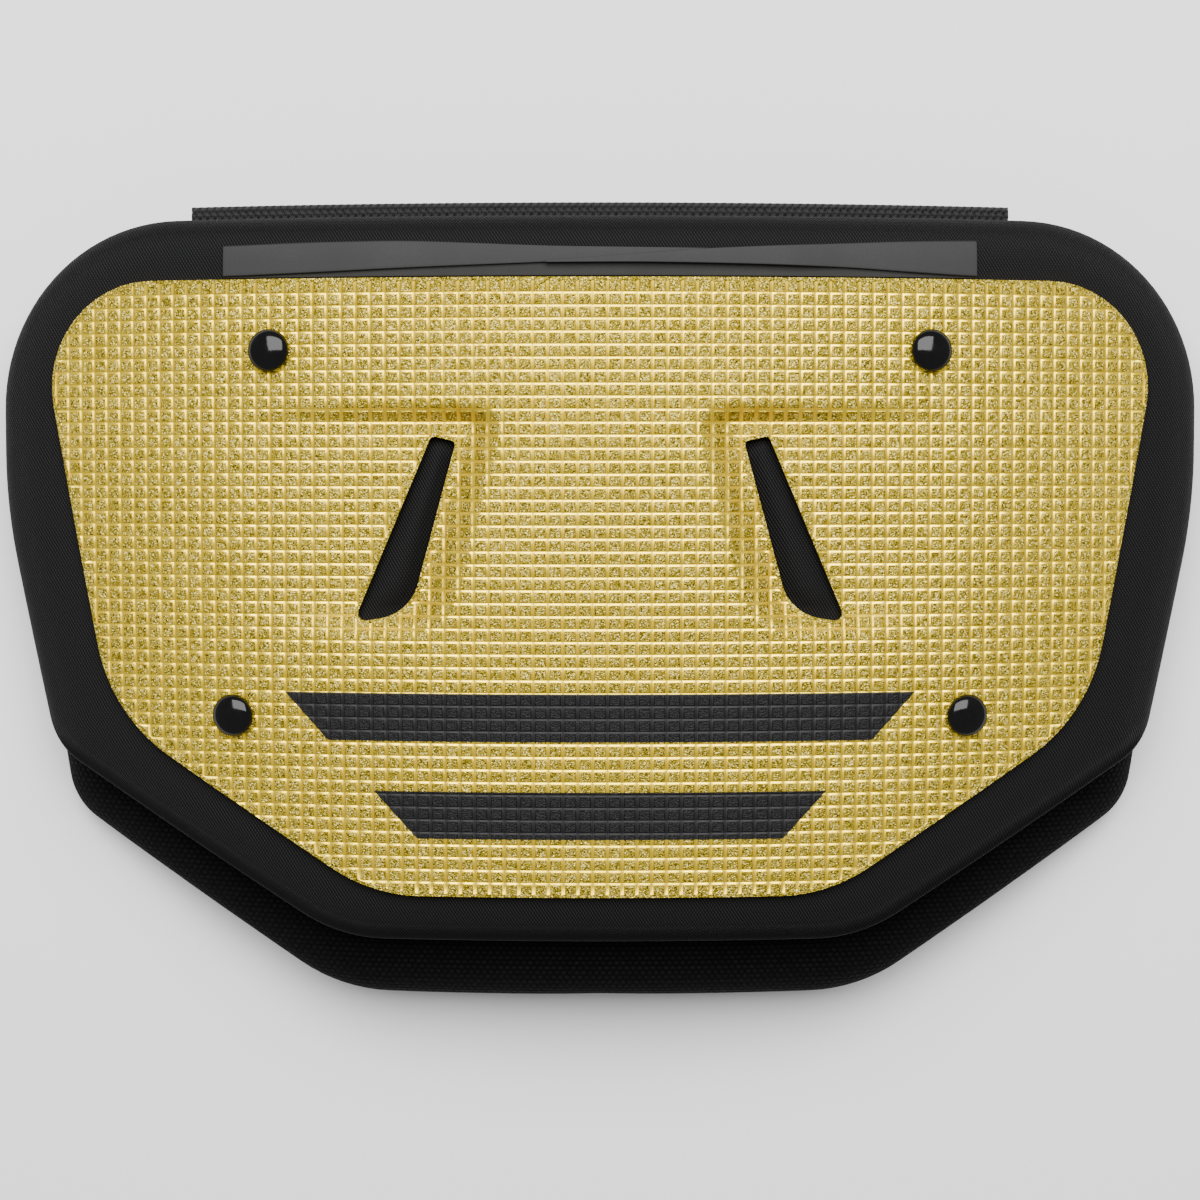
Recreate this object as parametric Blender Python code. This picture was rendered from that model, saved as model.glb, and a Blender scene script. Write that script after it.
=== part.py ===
"""Football back plate, lying on its rear face.

+Z points out of the front face, +Y is the wearer's up and +X is right as seen from the front.
The origin is the middle of the outline, on the surface that the plate lies on. Lengths are in metres.
"""

import math
from collections import namedtuple

import bmesh
import bpy
from mathutils import Vector

# Clearance between neighbouring pieces
GAP = 0.0003

# The whole part is bent round the wearer's back, and slightly bowed from top to bottom
ARCH_RADIUS = 0.410
BOW_RADIUS = 0.900
BOW_BELOW_PLATE_TOP = 0.0635

# Front plate: its width is measured between its upper corners before they are rounded
PLATE_WIDTH = 0.3068
PLATE_HEIGHT = 0.1628
PLATE_THICKNESS = 0.0020
PLATE_EDGE_ROUND = 0.0006

# Front pad: how far it stands out round the plate, and its rolled rim
FRONT_RIM_SIDE = 0.0108
FRONT_RIM_TOP = 0.0168
FRONT_RIM_BOTTOM = 0.0135
FRONT_PAD_THICKNESS = 0.0140
FRONT_ROLL_WIDTH = 0.0120
FRONT_ROLL_UPPER = 0.0085
FRONT_ROLL_LOWER = 0.0050

# Rear pad: how far it stands out below the front pad and stays back at the sides and the top
REAR_BELOW_FRONT = 0.0185
REAR_INSET_SIDE = 0.0032
REAR_INSET_TOP = 0.0035
REAR_PAD_THICKNESS = 0.0175
REAR_ROLL_WIDTH = 0.0120
REAR_ROLL_UPPER = 0.0085
REAR_ROLL_LOWER = 0.0050

# The rear face is flat where the pad's two sides rest, from this share of its half width outward
SEAT_SHARE = 0.92

# Webbing strip between the pads
WEBBING_WIDTH = 0.2220
WEBBING_STANDS_UP = 0.0042
WEBBING_TUCK = 0.0190
WEBBING_THICKNESS = 0.0028
WEBBING_EDGE_ROUND = 0.0008

# Scooped recesses in the plate: the inner wall leans outward from top to bottom
SCOOP_BELOW_PLATE_TOP = 0.0326
SCOOP_HEIGHT = 0.0620
SCOOP_DEPTH = 0.0052
SCOOP_INNER_REACH = 0.0228
SCOOP_INNER_LEAN = 0.268
SCOOP_OUTER_REACH = 0.0950
SCOOP_TOP_WALL = 0.0032
SCOOP_SIDE_WALL = 0.0064
SCOOP_BOTTOM_WALL = 0.0064

# The front pad's hollows under the recesses are this much wider and deeper than the plate's underside
HOLLOW_EASE = 0.0012

# Slots: place of the upper inner corner from the recess's top edge, and size
SLOT_TOP_REACH = 0.0377
SLOT_BELOW_SCOOP_TOP = 0.0100
SLOT_HEIGHT = 0.0476
SLOT_SPREAD = 0.0270

# Tapered tongues on the front pad
TONGUE_ABOVE_PLATE = 0.0008
TONGUE_WIDTH = 0.0097
TONGUE_THICKNESS = 0.0008
TONGUE_SEAT = 0.0004
TONGUE_START_REACH = 0.0996
LEFT_TONGUE_LENGTH = 0.1307
RIGHT_TONGUE_LENGTH = 0.1138
TONGUE_STEP_LENGTH = 0.0170

# Snaps
SNAP_DIAMETER = 0.0112
SNAP_HEIGHT = 0.0034
SNAP_EDGE = 0.0008
SNAP_SHANK_DIAMETER = 0.0040
SNAP_SHANK_IN_PAD = 0.0050
SNAP_UPPER_REACH = 0.0867
SNAP_UPPER_BELOW_TOP = 0.0188
SNAP_LOWER_REACH = 0.0971
SNAP_LOWER_ABOVE_BOTTOM = 0.0478
SNAP_SIDES = 16

# Outlines: sharp corners of the right half from the top edge to the bottom edge. Reach is a share of the
# half width, rise and rounding are shares of the height. Each corner has its arc's steps and those of the
# straight run below it.
Corner = namedtuple("Corner", "reach rise rounding arc_steps run_steps")

PLATE_CORNERS = (
    Corner(1.000, 1.000, 0.172, 6, 9),
    Corner(0.858, 0.287, 0.276, 4, 3),
    Corner(0.394, 0.000, 0.264, 3, 0),
)
FRONT_PAD_CORNERS = (
    Corner(1.000, 1.000, 0.260, 6, 2),
    Corner(0.998, 0.600, 0.780, 2, 3),
    Corner(0.915, 0.262, 0.100, 3, 4),
    Corner(0.427, 0.000, 0.220, 3, 0),
)
REAR_PAD_CORNERS = (
    Corner(1.000, 1.000, 0.230, 4, 2),
    Corner(0.995, 0.630, 0.600, 2, 3),
    Corner(0.920, 0.247, 0.085, 3, 4),
    Corner(0.447, 0.000, 0.216, 3, 0),
)
STRIP_CORNERS = (
    Corner(1.000, 1.000, 0.060, 1, 1),
    Corner(1.000, 0.000, 0.060, 1, 0),
)

# Slot outline: across is a share of the slot's spread outward from its upper inner corner, fall a share of
# its height, rounding a share of its height
SlotCorner = namedtuple("SlotCorner", "across fall rounding arc_steps")
SLOT_CORNERS = (
    SlotCorner(0.240, -0.030, 0.025, 1),
    SlotCorner(0.000, 0.000, 0.025, 1),
    SlotCorner(0.455, 0.950, 0.260, 4),
    SlotCorner(1.010, 1.000, 0.040, 2),
)

# Tongue edges: along is a share of the length from the wide end to the tip, lower and upper are shares of
# the width
TongueStation = namedtuple("TongueStation", "along lower upper")
LEFT_TONGUE_STATIONS = (
    TongueStation(0.00, 0.00, 0.84),
    TongueStation(0.17, 0.07, 0.91),
    TongueStation(0.37, 0.18, 0.93),
    TongueStation(0.66, 0.32, 0.76),
    TongueStation(0.81, 0.46, 0.73),
    TongueStation(1.00, 0.66, 0.70),
)
RIGHT_TONGUE_STATIONS = (
    TongueStation(0.00, 0.00, 1.00),
    TongueStation(0.18, 0.11, 0.94),
    TongueStation(0.30, 0.20, 0.87),
    TongueStation(0.51, 0.27, 0.76),
    TongueStation(0.65, 0.30, 0.68),
    TongueStation(0.79, 0.32, 0.54),
    TongueStation(1.00, 0.31, 0.35),
)

# Levels that follow from the sizes above, down the front face and through the thickness
OVERALL_HEIGHT = REAR_BELOW_FRONT + FRONT_RIM_BOTTOM + PLATE_HEIGHT + FRONT_RIM_TOP + WEBBING_STANDS_UP
REAR_PAD_BOTTOM = -OVERALL_HEIGHT / 2
FRONT_PAD_BOTTOM = REAR_PAD_BOTTOM + REAR_BELOW_FRONT
PLATE_BOTTOM = FRONT_PAD_BOTTOM + FRONT_RIM_BOTTOM
PLATE_TOP = PLATE_BOTTOM + PLATE_HEIGHT
FRONT_PAD_TOP = PLATE_TOP + FRONT_RIM_TOP
REAR_PAD_TOP = FRONT_PAD_TOP - REAR_INSET_TOP
WEBBING_TOP = FRONT_PAD_TOP + WEBBING_STANDS_UP
WEBBING_BOTTOM = FRONT_PAD_TOP - WEBBING_TUCK
FRONT_PAD_WIDTH = PLATE_WIDTH + 2 * FRONT_RIM_SIDE
REAR_PAD_WIDTH = FRONT_PAD_WIDTH - 2 * REAR_INSET_SIDE
BOW_CENTRE = PLATE_TOP - BOW_BELOW_PLATE_TOP
SCOOP_TOP = PLATE_TOP - SCOOP_BELOW_PLATE_TOP
SCOOP_BOTTOM = SCOOP_TOP - SCOOP_HEIGHT
FRONT_PAD_TOP_DROP = PLATE_THICKNESS + GAP
FRONT_PAD_BOTTOM_DROP = FRONT_PAD_TOP_DROP + FRONT_PAD_THICKNESS
REAR_PAD_TOP_DROP = FRONT_PAD_BOTTOM_DROP + GAP
REAR_PAD_BOTTOM_DROP = REAR_PAD_TOP_DROP + REAR_PAD_THICKNESS
WEBBING_TOP_DROP = FRONT_PAD_BOTTOM_DROP + GAP


def arch_fall(x, y):
    """How far a bent layer lies below its crown at (x, y)."""
    across = ARCH_RADIUS - math.sqrt(ARCH_RADIUS ** 2 - x ** 2)
    along = (y - BOW_CENTRE) ** 2 / (2 * BOW_RADIUS)
    return across + along


SEAT_REACH = SEAT_SHARE * REAR_PAD_WIDTH / 2
CROWN_HEIGHT = REAR_PAD_BOTTOM_DROP + arch_fall(SEAT_REACH, BOW_CENTRE)


def face_height(x, y):
    """Height of the plate's front face, without its recesses."""
    return CROWN_HEIGHT - arch_fall(x, y)


def face_normal(x, y):
    """Outward direction of the plate's front face."""
    slope_x = x / math.sqrt(ARCH_RADIUS ** 2 - x ** 2)
    slope_y = (y - BOW_CENTRE) / BOW_RADIUS
    return Vector((slope_x, slope_y, 1)).normalized()


def smooth_step(value):
    """0 below 0, 1 above 1, and a soft S between."""
    share = min(max(value, 0), 1)
    return share * share * (3 - 2 * share)


def scoop_inner_edge(y):
    """Reach of the recess's inner edge at a height, with the lean ending at the recess."""
    level = min(max(y, SCOOP_BOTTOM), SCOOP_TOP)
    return SCOOP_INNER_REACH + SCOOP_INNER_LEAN * (SCOOP_TOP - level)


def scoop_dip(x, y, ease=0):
    """Depth of the recess at (x, y). An ease widens and deepens it."""
    reach = abs(x)
    from_top = (SCOOP_TOP + ease - y) / SCOOP_TOP_WALL
    from_bottom = (y - SCOOP_BOTTOM + ease) / SCOOP_BOTTOM_WALL
    from_inner = (reach - scoop_inner_edge(y) + ease) / SCOOP_SIDE_WALL
    walls = smooth_step(from_top) * smooth_step(from_bottom) * smooth_step(from_inner)
    foot = scoop_inner_edge(y) + SCOOP_SIDE_WALL
    ramp = (SCOOP_OUTER_REACH + ease - reach) / (SCOOP_OUTER_REACH - foot)
    return (SCOOP_DEPTH + ease) * walls * min(max(ramp, 0), 1)


def moved_corners(corners, width, top, bottom, inset):
    """Sharp corners and roundings of a right half outline moved inward by the inset."""
    height = top - bottom
    points = [Vector((0, top))]
    for corner in corners:
        points.append(Vector((corner.reach * width / 2, bottom + corner.rise * height)))
    points.append(Vector((0, bottom)))
    moved = []
    for index, corner in enumerate(corners):
        before = (points[index + 1] - points[index]).normalized()
        after = (points[index + 2] - points[index + 1]).normalized()
        inward_before = Vector((before.y, -before.x))
        inward_after = Vector((after.y, -after.x))
        shift = (inward_before + inward_after) / (1 + inward_before.dot(inward_after))
        radius = max(corner.rounding * height - inset, GAP)
        moved.append((points[index + 1] + shift * inset, before, after, radius))
    return moved


def arc_points(corner, before, after, radius, steps):
    """Points of the fillet at a corner of a clockwise outline."""
    turn = before.angle(after)
    start = corner - before * radius * math.tan(turn / 2)
    inward = Vector((before.y, -before.x))
    centre = start + inward * radius
    points = []
    for step in range(steps + 1):
        angle = turn * step / steps
        spoke = before * math.sin(angle) - inward * math.cos(angle)
        points.append(centre + spoke * radius)
    return points


def no_guides(height, edge, widest):
    """Columns that only follow the outline."""
    return []


def scoop_guides(height, edge, widest):
    """Reach of the recess's inner wall and outer end on a row, drawn in where the outline is narrower."""
    inner = scoop_inner_edge(height)
    fit = min(1, edge / widest)
    return [inner * fit, (inner + SCOOP_SIDE_WALL) * fit, SCOOP_OUTER_REACH * fit]


def seat_guides(height, edge, widest):
    """Reach at which the rear face comes down to the floor on a row, or the same share of a narrower row."""
    fall = arch_fall(SEAT_REACH, BOW_CENTRE) - (height - BOW_CENTRE) ** 2 / (2 * BOW_RADIUS)
    reach = math.sqrt(ARCH_RADIUS ** 2 - (ARCH_RADIUS - fall) ** 2)
    return [min(reach, SEAT_SHARE * edge)]


def reach_at(side, y):
    """Reach of a side outline at a height."""
    for upper, lower in zip(side, side[1:]):
        if lower.y <= y:
            share = (upper.y - y) / (upper.y - lower.y)
            return upper.x + (lower.x - upper.x) * share
    return side[-1].x


class Layer:
    """A layer of the stack: its outline, and the rows and columns of points that cover it.

    Its columns keep to the reaches that guides gives for a row, with column_steps between them. In a recessed
    layer the first zones of rows end at the recess's levels.
    """

    def __init__(self, corners, width, top, bottom, guides, column_steps, zone_steps=()):
        self.corners = corners
        self.width = width
        self.top = top
        self.bottom = bottom
        self.guides = guides
        self.column_steps = column_steps
        self.zone_steps = zone_steps

    def side(self, inset):
        """Right side of the outline from the top edge to the bottom edge, one point for each row."""
        moved = moved_corners(self.corners, self.width, self.top, self.bottom, inset)
        points = []
        for corner, place in zip(self.corners, moved):
            arc = arc_points(*place, corner.arc_steps)
            if points:
                self.add_run(points, arc[0])
            points.extend(arc)
        return points

    def add_run(self, points, end):
        """Points along the straight run that ends at the next arc."""
        index = self.runs_made(points)
        steps = self.corners[index].run_steps
        start = points[-1]
        for step in range(1, steps):
            points.append(start.lerp(end, step / steps))

    def runs_made(self, points):
        """Number of the corner whose arc was added last."""
        count = 0
        for index, corner in enumerate(self.corners):
            count += corner.arc_steps + 1
            if count == len(points):
                return index
            count += max(corner.run_steps - 1, 0)
        raise ValueError("the outline's points don't match its corners")

    def rows(self, side):
        """Height of each row in the middle of a recessed layer."""
        levels = [
            side[0].y,
            SCOOP_TOP,
            SCOOP_TOP - SCOOP_TOP_WALL,
            SCOOP_BOTTOM + SCOOP_BOTTOM_WALL,
            SCOOP_BOTTOM,
            side[-1].y,
        ]
        last_zone = len(side) - 1 - sum(self.zone_steps)
        heights = [levels[0]]
        for upper, lower, steps in zip(levels, levels[1:], (*self.zone_steps, last_zone)):
            for step in range(1, steps + 1):
                heights.append(upper + (lower - upper) * step / steps)
        return heights

    def half_columns(self, height, edge, widest):
        """Reach of each column from the middle to the edge, on a row."""
        guides = [0, *self.guides(height, edge, widest), edge]
        reaches = [0]
        for near, far, steps in zip(guides, guides[1:], self.column_steps):
            for step in range(1, steps + 1):
                reaches.append(near + (far - near) * step / steps)
        return reaches

    def points(self, inset, level_rows):
        """Plan position of every row and column, with the outline moved inward by the inset.

        Level rows run straight across; the others bend to keep the layer's levels in its middle.
        """
        side = self.side(inset)
        heights = [point.y for point in side] if level_rows else self.rows(side)
        widest = reach_at(side, SCOOP_BOTTOM)
        plan = []
        for edge, height in zip(side, heights):
            half = self.half_columns(height, edge.x, widest)
            row = []
            for reach in [-value for value in reversed(half[1:])] + half:
                share = smooth_step((abs(reach) / edge.x - 0.7) / 0.3)
                row.append((reach, height + (edge.y - height) * share))
            plan.append(row)
        return plan


def new_material(name, colour, roughness, metallic=0.0):
    """A plain Principled material."""
    material = bpy.data.materials.new(name)
    material.use_nodes = True
    shader = material.node_tree.nodes["Principled BSDF"]
    shader.inputs["Base Color"].default_value = (*colour, 1)
    shader.inputs["Roughness"].default_value = roughness
    shader.inputs["Metallic"].default_value = metallic
    return material


def new_object(name, mesh_builder, material=None):
    """Turn a bmesh into a named object."""
    bmesh.ops.recalc_face_normals(mesh_builder, faces=mesh_builder.faces)
    mesh = bpy.data.meshes.new(name)
    mesh_builder.to_mesh(mesh)
    mesh_builder.free()
    made = bpy.data.objects.new(name, mesh)
    bpy.context.scene.collection.objects.link(made)
    if material:
        mesh.materials.append(material)
    return made


def layer_mesh(layer, rings, top_dip, bottom_dip, floor=-math.inf):
    """A closed body: a top face, a rim that runs through the rings, and a bottom face.

    A ring is an inset from the outline and a drop below the plate's front face.
    """
    columns = 2 * sum(layer.column_steps)
    rows = len(layer.side(0)) - 1
    body = bmesh.new()
    row_tag = body.verts.layers.int.new("row")
    column_tag = body.verts.layers.int.new("column")
    bmesh.ops.create_grid(body, x_segments=columns, y_segments=rows, size=1)
    for vertex in body.verts:
        vertex[row_tag] = round((1 - vertex.co.y) / 2 * rows)
        vertex[column_tag] = round((vertex.co.x + 1) / 2 * columns)

    def place(vertices, inset, drop, dip=None):
        plan = layer.points(inset, level_rows=dip is None)
        for vertex in vertices:
            x, y = plan[vertex[row_tag]][vertex[column_tag]]
            z = face_height(x, y) - drop
            if dip:
                z -= dip(x, y)
            vertex.co = (x, y, max(z, floor))

    top_faces = list(body.faces)
    rim = [edge for edge in body.edges if edge.is_boundary]
    copied = bmesh.ops.duplicate(body, geom=top_faces)
    bottom = [item for item in copied["geom"] if isinstance(item, bmesh.types.BMVert)]
    top = {vertex for face in top_faces for vertex in face.verts}
    place(top, *rings[0], top_dip)
    place(bottom, *rings[-1], bottom_dip)
    for inset, drop in rings[1:]:
        grown = bmesh.ops.extrude_edge_only(body, edges=rim)["geom"]
        rim = [item for item in grown if isinstance(item, bmesh.types.BMEdge)]
        place([item for item in grown if isinstance(item, bmesh.types.BMVert)], inset, drop)
    bmesh.ops.remove_doubles(body, verts=body.verts, dist=1e-6)
    bmesh.ops.triangulate(body, faces=body.faces, quad_method="SHORT_EDGE")
    return body


def roll_rings(top_drop, bottom_drop, width, upper, lower, steps):
    """Rings of a rolled rim: an elliptical upper roll, the widest line, and an elliptical lower roll."""
    rings = []
    for step in range(steps + 1):
        angle = math.pi / 2 * step / steps
        inset = width * (1 - math.sin(angle))
        rings.append((inset, top_drop + upper * (1 - math.cos(angle))))
    for step in range(steps + 1):
        angle = math.pi / 2 * step / steps
        inset = lower * (1 - math.cos(angle))
        rings.append((inset, bottom_drop - lower * (1 - math.sin(angle))))
    return rings


def plate_layer():
    """Outline and point layout of the plate."""
    return Layer(
        PLATE_CORNERS, PLATE_WIDTH, PLATE_TOP, PLATE_BOTTOM,
        scoop_guides, (2, 2, 6, 4), (5, 2, 7, 2),
    )


def front_pad_layer():
    """Outline and point layout of the front pad."""
    return Layer(
        FRONT_PAD_CORNERS, FRONT_PAD_WIDTH, FRONT_PAD_TOP, FRONT_PAD_BOTTOM,
        scoop_guides, (2, 2, 4, 3), (4, 2, 4, 2),
    )


def rear_pad_layer():
    """Outline and point layout of the rear pad."""
    return Layer(REAR_PAD_CORNERS, REAR_PAD_WIDTH, REAR_PAD_TOP, REAR_PAD_BOTTOM, seat_guides, (8, 1))


def make_front_plate(material):
    """Thin bent shell with two recesses."""
    rings = [
        (PLATE_EDGE_ROUND, 0),
        (0, PLATE_EDGE_ROUND),
        (0, PLATE_THICKNESS),
    ]
    body = layer_mesh(plate_layer(), rings, scoop_dip, scoop_dip)
    return new_object("front_plate", body, material)


def hollow_dip(x, y):
    """Depth of the front pad's hollow under a recess."""
    return scoop_dip(x, y, HOLLOW_EASE)


def make_front_pad(material):
    """Padded body under the plate, with hollows under the recesses."""
    rings = roll_rings(
        FRONT_PAD_TOP_DROP, FRONT_PAD_BOTTOM_DROP,
        FRONT_ROLL_WIDTH, FRONT_ROLL_UPPER, FRONT_ROLL_LOWER, 3,
    )
    body = layer_mesh(front_pad_layer(), rings, hollow_dip, None)
    return new_object("front_pad", body, material)


def make_rear_pad(material):
    """Cushion with a hollow rear face that is flattened where its sides rest."""
    rings = roll_rings(
        REAR_PAD_TOP_DROP, REAR_PAD_BOTTOM_DROP,
        REAR_ROLL_WIDTH, REAR_ROLL_UPPER, REAR_ROLL_LOWER, 3,
    )
    body = layer_mesh(rear_pad_layer(), rings, None, None, floor=0)
    return new_object("rear_pad", body, material)


def strip_layer(width, top, bottom):
    """Outline and point layout of a straight strip across the part."""
    return Layer(STRIP_CORNERS, width, top, bottom, no_guides, (8,))


def make_webbing(material):
    """Webbing strip between the pads."""
    rings = [
        (WEBBING_EDGE_ROUND, WEBBING_TOP_DROP),
        (0, WEBBING_TOP_DROP + WEBBING_EDGE_ROUND),
        (0, WEBBING_TOP_DROP + WEBBING_THICKNESS - WEBBING_EDGE_ROUND),
        (WEBBING_EDGE_ROUND, WEBBING_TOP_DROP + WEBBING_THICKNESS),
    ]
    body = layer_mesh(strip_layer(WEBBING_WIDTH, WEBBING_TOP, WEBBING_BOTTOM), rings, None, None)
    return new_object("top_webbing", body, material)


def make_webbing_cutter():
    """Room for the webbing strip in the rear pad."""
    above = FRONT_PAD_BOTTOM_DROP - WEBBING_THICKNESS
    below = WEBBING_TOP_DROP + WEBBING_THICKNESS + GAP
    layer = strip_layer(WEBBING_WIDTH + 2 * GAP, WEBBING_TOP, WEBBING_BOTTOM - GAP)
    body = layer_mesh(layer, [(0, above), (0, below)], None, None)
    return as_cutter(new_object("webbing_cutter", body))


def as_cutter(made):
    """Mark an object that only cuts others."""
    made.hide_render = True
    made.display_type = "WIRE"
    return made


def cut(target, cutter):
    """Cut one object out of another."""
    modifier = target.modifiers.new(cutter.name, "BOOLEAN")
    modifier.operation = "DIFFERENCE"
    modifier.solver = "EXACT"
    modifier.object = cutter


def slot_outline(side):
    """Rounded outline of a slot, on the left (-1) or the right (1)."""
    sharp = []
    for corner in SLOT_CORNERS:
        reach = SLOT_TOP_REACH + corner.across * SLOT_SPREAD
        height = SCOOP_TOP - SLOT_BELOW_SCOOP_TOP - corner.fall * SLOT_HEIGHT
        sharp.append(Vector((reach, height)))
    points = []
    count = len(sharp)
    for index, corner in enumerate(SLOT_CORNERS):
        before = (sharp[index] - sharp[index - 1]).normalized()
        after = (sharp[(index + 1) % count] - sharp[index]).normalized()
        turn = before.angle(after)
        radius = corner.rounding * SLOT_HEIGHT
        start = sharp[index] - before * radius * math.tan(turn / 2)
        inward = Vector((-before.y, before.x))
        for step in range(corner.arc_steps + 1):
            angle = turn * step / corner.arc_steps
            spoke = before * math.sin(angle) - inward * math.cos(angle)
            point = start + inward * radius + spoke * radius
            points.append(Vector((side * point.x, point.y)))
    return points


def make_slot_cutter():
    """Upright prisms that cut both slots."""
    body = bmesh.new()
    for side in (-1, 1):
        base = [body.verts.new((point.x, point.y, 0)) for point in slot_outline(side)]
        face = body.faces.new(base)
        grown = bmesh.ops.extrude_face_region(body, geom=[face])["geom"]
        raised = [item for item in grown if isinstance(item, bmesh.types.BMVert)]
        bmesh.ops.translate(body, verts=raised, vec=(0, 0, 2 * CROWN_HEIGHT))
    return as_cutter(new_object("slot_cutter", body))


def snap_places():
    """Name and plan position of each snap."""
    upper = PLATE_TOP - SNAP_UPPER_BELOW_TOP
    lower = PLATE_BOTTOM + SNAP_LOWER_ABOVE_BOTTOM
    return [
        ("snap_upper_left", -SNAP_UPPER_REACH, upper),
        ("snap_upper_right", SNAP_UPPER_REACH, upper),
        ("snap_lower_left", -SNAP_LOWER_REACH, lower),
        ("snap_lower_right", SNAP_LOWER_REACH, lower),
    ]


def stand_on_face(made, x, y):
    """Place an object on the plate's front face, along its outward direction."""
    made.location = (x, y, face_height(x, y))
    made.rotation_euler = face_normal(x, y).to_track_quat("Z", "Y").to_euler()


def snap_mesh():
    """Turned snap: a shank and a domed cap. Height 0 is the plate's front face."""
    shank = SNAP_SHANK_DIAMETER / 2
    rim = SNAP_DIAMETER / 2
    foot = -PLATE_THICKNESS - SNAP_SHANK_IN_PAD
    profile = [
        (0, foot),
        (shank, foot),
        (shank, GAP),
        (rim - SNAP_EDGE / 2, GAP),
        (rim, GAP + SNAP_EDGE),
    ]
    dome_steps = 4
    for step in range(1, dome_steps + 1):
        angle = math.pi / 2 * step / dome_steps
        rise = (SNAP_HEIGHT - SNAP_EDGE) * math.sin(angle)
        profile.append((rim * math.cos(angle), GAP + SNAP_EDGE + rise))
    body = bmesh.new()
    line = [body.verts.new((radius, 0, height)) for radius, height in profile]
    edges = [body.edges.new(pair) for pair in zip(line, line[1:])]
    bmesh.ops.spin(
        body, geom=line + edges, cent=(0, 0, 0), axis=(0, 0, 1),
        angle=2 * math.pi, steps=SNAP_SIDES, use_merge=True,
    )
    bmesh.ops.remove_doubles(body, verts=body.verts, dist=1e-6)
    return body


def make_snaps(material):
    """Four snaps, each through its hole in the plate."""
    snaps = []
    for name, x, y in snap_places():
        snap = new_object(name, snap_mesh(), material)
        snap.data.shade_smooth()
        snap.data.set_sharp_from_angle(angle=math.radians(40))
        stand_on_face(snap, x, y)
        snaps.append(snap)
    return snaps


def make_shank_cutters():
    """One cutter for each snap's hole through the plate and into the front pad."""
    depth = PLATE_THICKNESS + SNAP_SHANK_IN_PAD + GAP
    above = SNAP_HEIGHT
    cutters = []
    for name, x, y in snap_places():
        body = bmesh.new()
        radius = SNAP_SHANK_DIAMETER / 2 + GAP
        bmesh.ops.create_cone(
            body, cap_ends=True, segments=SNAP_SIDES,
            radius1=radius, radius2=radius, depth=depth + above,
        )
        bmesh.ops.translate(body, verts=body.verts, vec=(0, 0, (above - depth) / 2))
        cutter = as_cutter(new_object(name + "_cutter", body))
        stand_on_face(cutter, x, y)
        cutters.append(cutter)
    return cutters


def front_roll_drop(y):
    """Drop of the front pad's upper face where its top rim rolls down."""
    inset = min(max(FRONT_PAD_TOP - y, 0), FRONT_ROLL_WIDTH)
    share = 1 - inset / FRONT_ROLL_WIDTH
    return FRONT_PAD_TOP_DROP + FRONT_ROLL_UPPER * (1 - math.sqrt(1 - share ** 2))


def station_at(stations, along):
    """Lower and upper edge of a tongue at a share of its length."""
    for near, far in zip(stations, stations[1:]):
        if along <= far.along:
            share = (along - near.along) / (far.along - near.along)
            lower = near.lower + (far.lower - near.lower) * share
            upper = near.upper + (far.upper - near.upper) * share
            return lower, upper
    return stations[-1].lower, stations[-1].upper


def make_tongue(name, side, length, stations, lifted, material):
    """Flat tapered strip on the front pad, from its wide end at one side across the middle.

    A lifted tongue lies on top of the other one where they cross.
    """
    steps = max(2, round(length / TONGUE_STEP_LENGTH)) * 2
    across = 2
    base = PLATE_TOP + TONGUE_ABOVE_PLATE
    other_tip = LEFT_TONGUE_LENGTH - TONGUE_START_REACH
    body = bmesh.new()
    bmesh.ops.create_grid(body, x_segments=steps, y_segments=across, size=1)
    for vertex in body.verts:
        along = (vertex.co.x + 1) / 2
        lower, upper = station_at(stations, along)
        share = (vertex.co.y + 1) / 2
        x = side * (TONGUE_START_REACH - along * length)
        y = base + TONGUE_WIDTH * (lower + (upper - lower) * share)
        z = face_height(x, y) - front_roll_drop(y) + TONGUE_SEAT
        if lifted:
            lift = smooth_step((other_tip + 2 * TONGUE_STEP_LENGTH - side * x) / TONGUE_STEP_LENGTH)
            z += lift * (TONGUE_THICKNESS + GAP)
        vertex.co = (x, y, z)
    grown = bmesh.ops.extrude_face_region(body, geom=list(body.faces))["geom"]
    raised = [item for item in grown if isinstance(item, bmesh.types.BMVert)]
    bmesh.ops.translate(body, verts=raised, vec=(0, 0, TONGUE_THICKNESS))
    return new_object(name, body, material)


def clear_scene():
    """Start from nothing."""
    for existing in list(bpy.data.objects):
        bpy.data.objects.remove(existing, do_unlink=True)


def main():
    """Build the back plate."""
    clear_scene()
    gold = new_material("embossed_gold", (0.62, 0.47, 0.12), 0.35, 0.8)
    nylon = new_material("woven_nylon", (0.022, 0.022, 0.023), 0.75)
    mesh_cloth = new_material("coarse_mesh", (0.008, 0.008, 0.009), 0.9)
    webbing_cloth = new_material("coarse_webbing", (0.025, 0.025, 0.026), 0.85)
    grey_film = new_material("grey_film", (0.09, 0.09, 0.092), 0.6)
    black_enamel = new_material("black_enamel", (0.006, 0.006, 0.007), 0.12, 0.2)

    plate = make_front_plate(gold)
    front_pad = make_front_pad(nylon)
    rear_pad = make_rear_pad(mesh_cloth)
    make_webbing(webbing_cloth)
    make_snaps(black_enamel)
    make_tongue("tongue_left", -1, LEFT_TONGUE_LENGTH, LEFT_TONGUE_STATIONS, False, grey_film)
    make_tongue("tongue_right", 1, RIGHT_TONGUE_LENGTH, RIGHT_TONGUE_STATIONS, True, grey_film)

    cut(plate, make_slot_cutter())
    for cutter in make_shank_cutters():
        cut(plate, cutter)
        cut(front_pad, cutter)
    cut(rear_pad, make_webbing_cutter())


main()
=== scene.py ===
"""Looks of a football back plate: gold plate, woven pad, mesh cushion, webbing, tongues and snaps."""

import math

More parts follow.
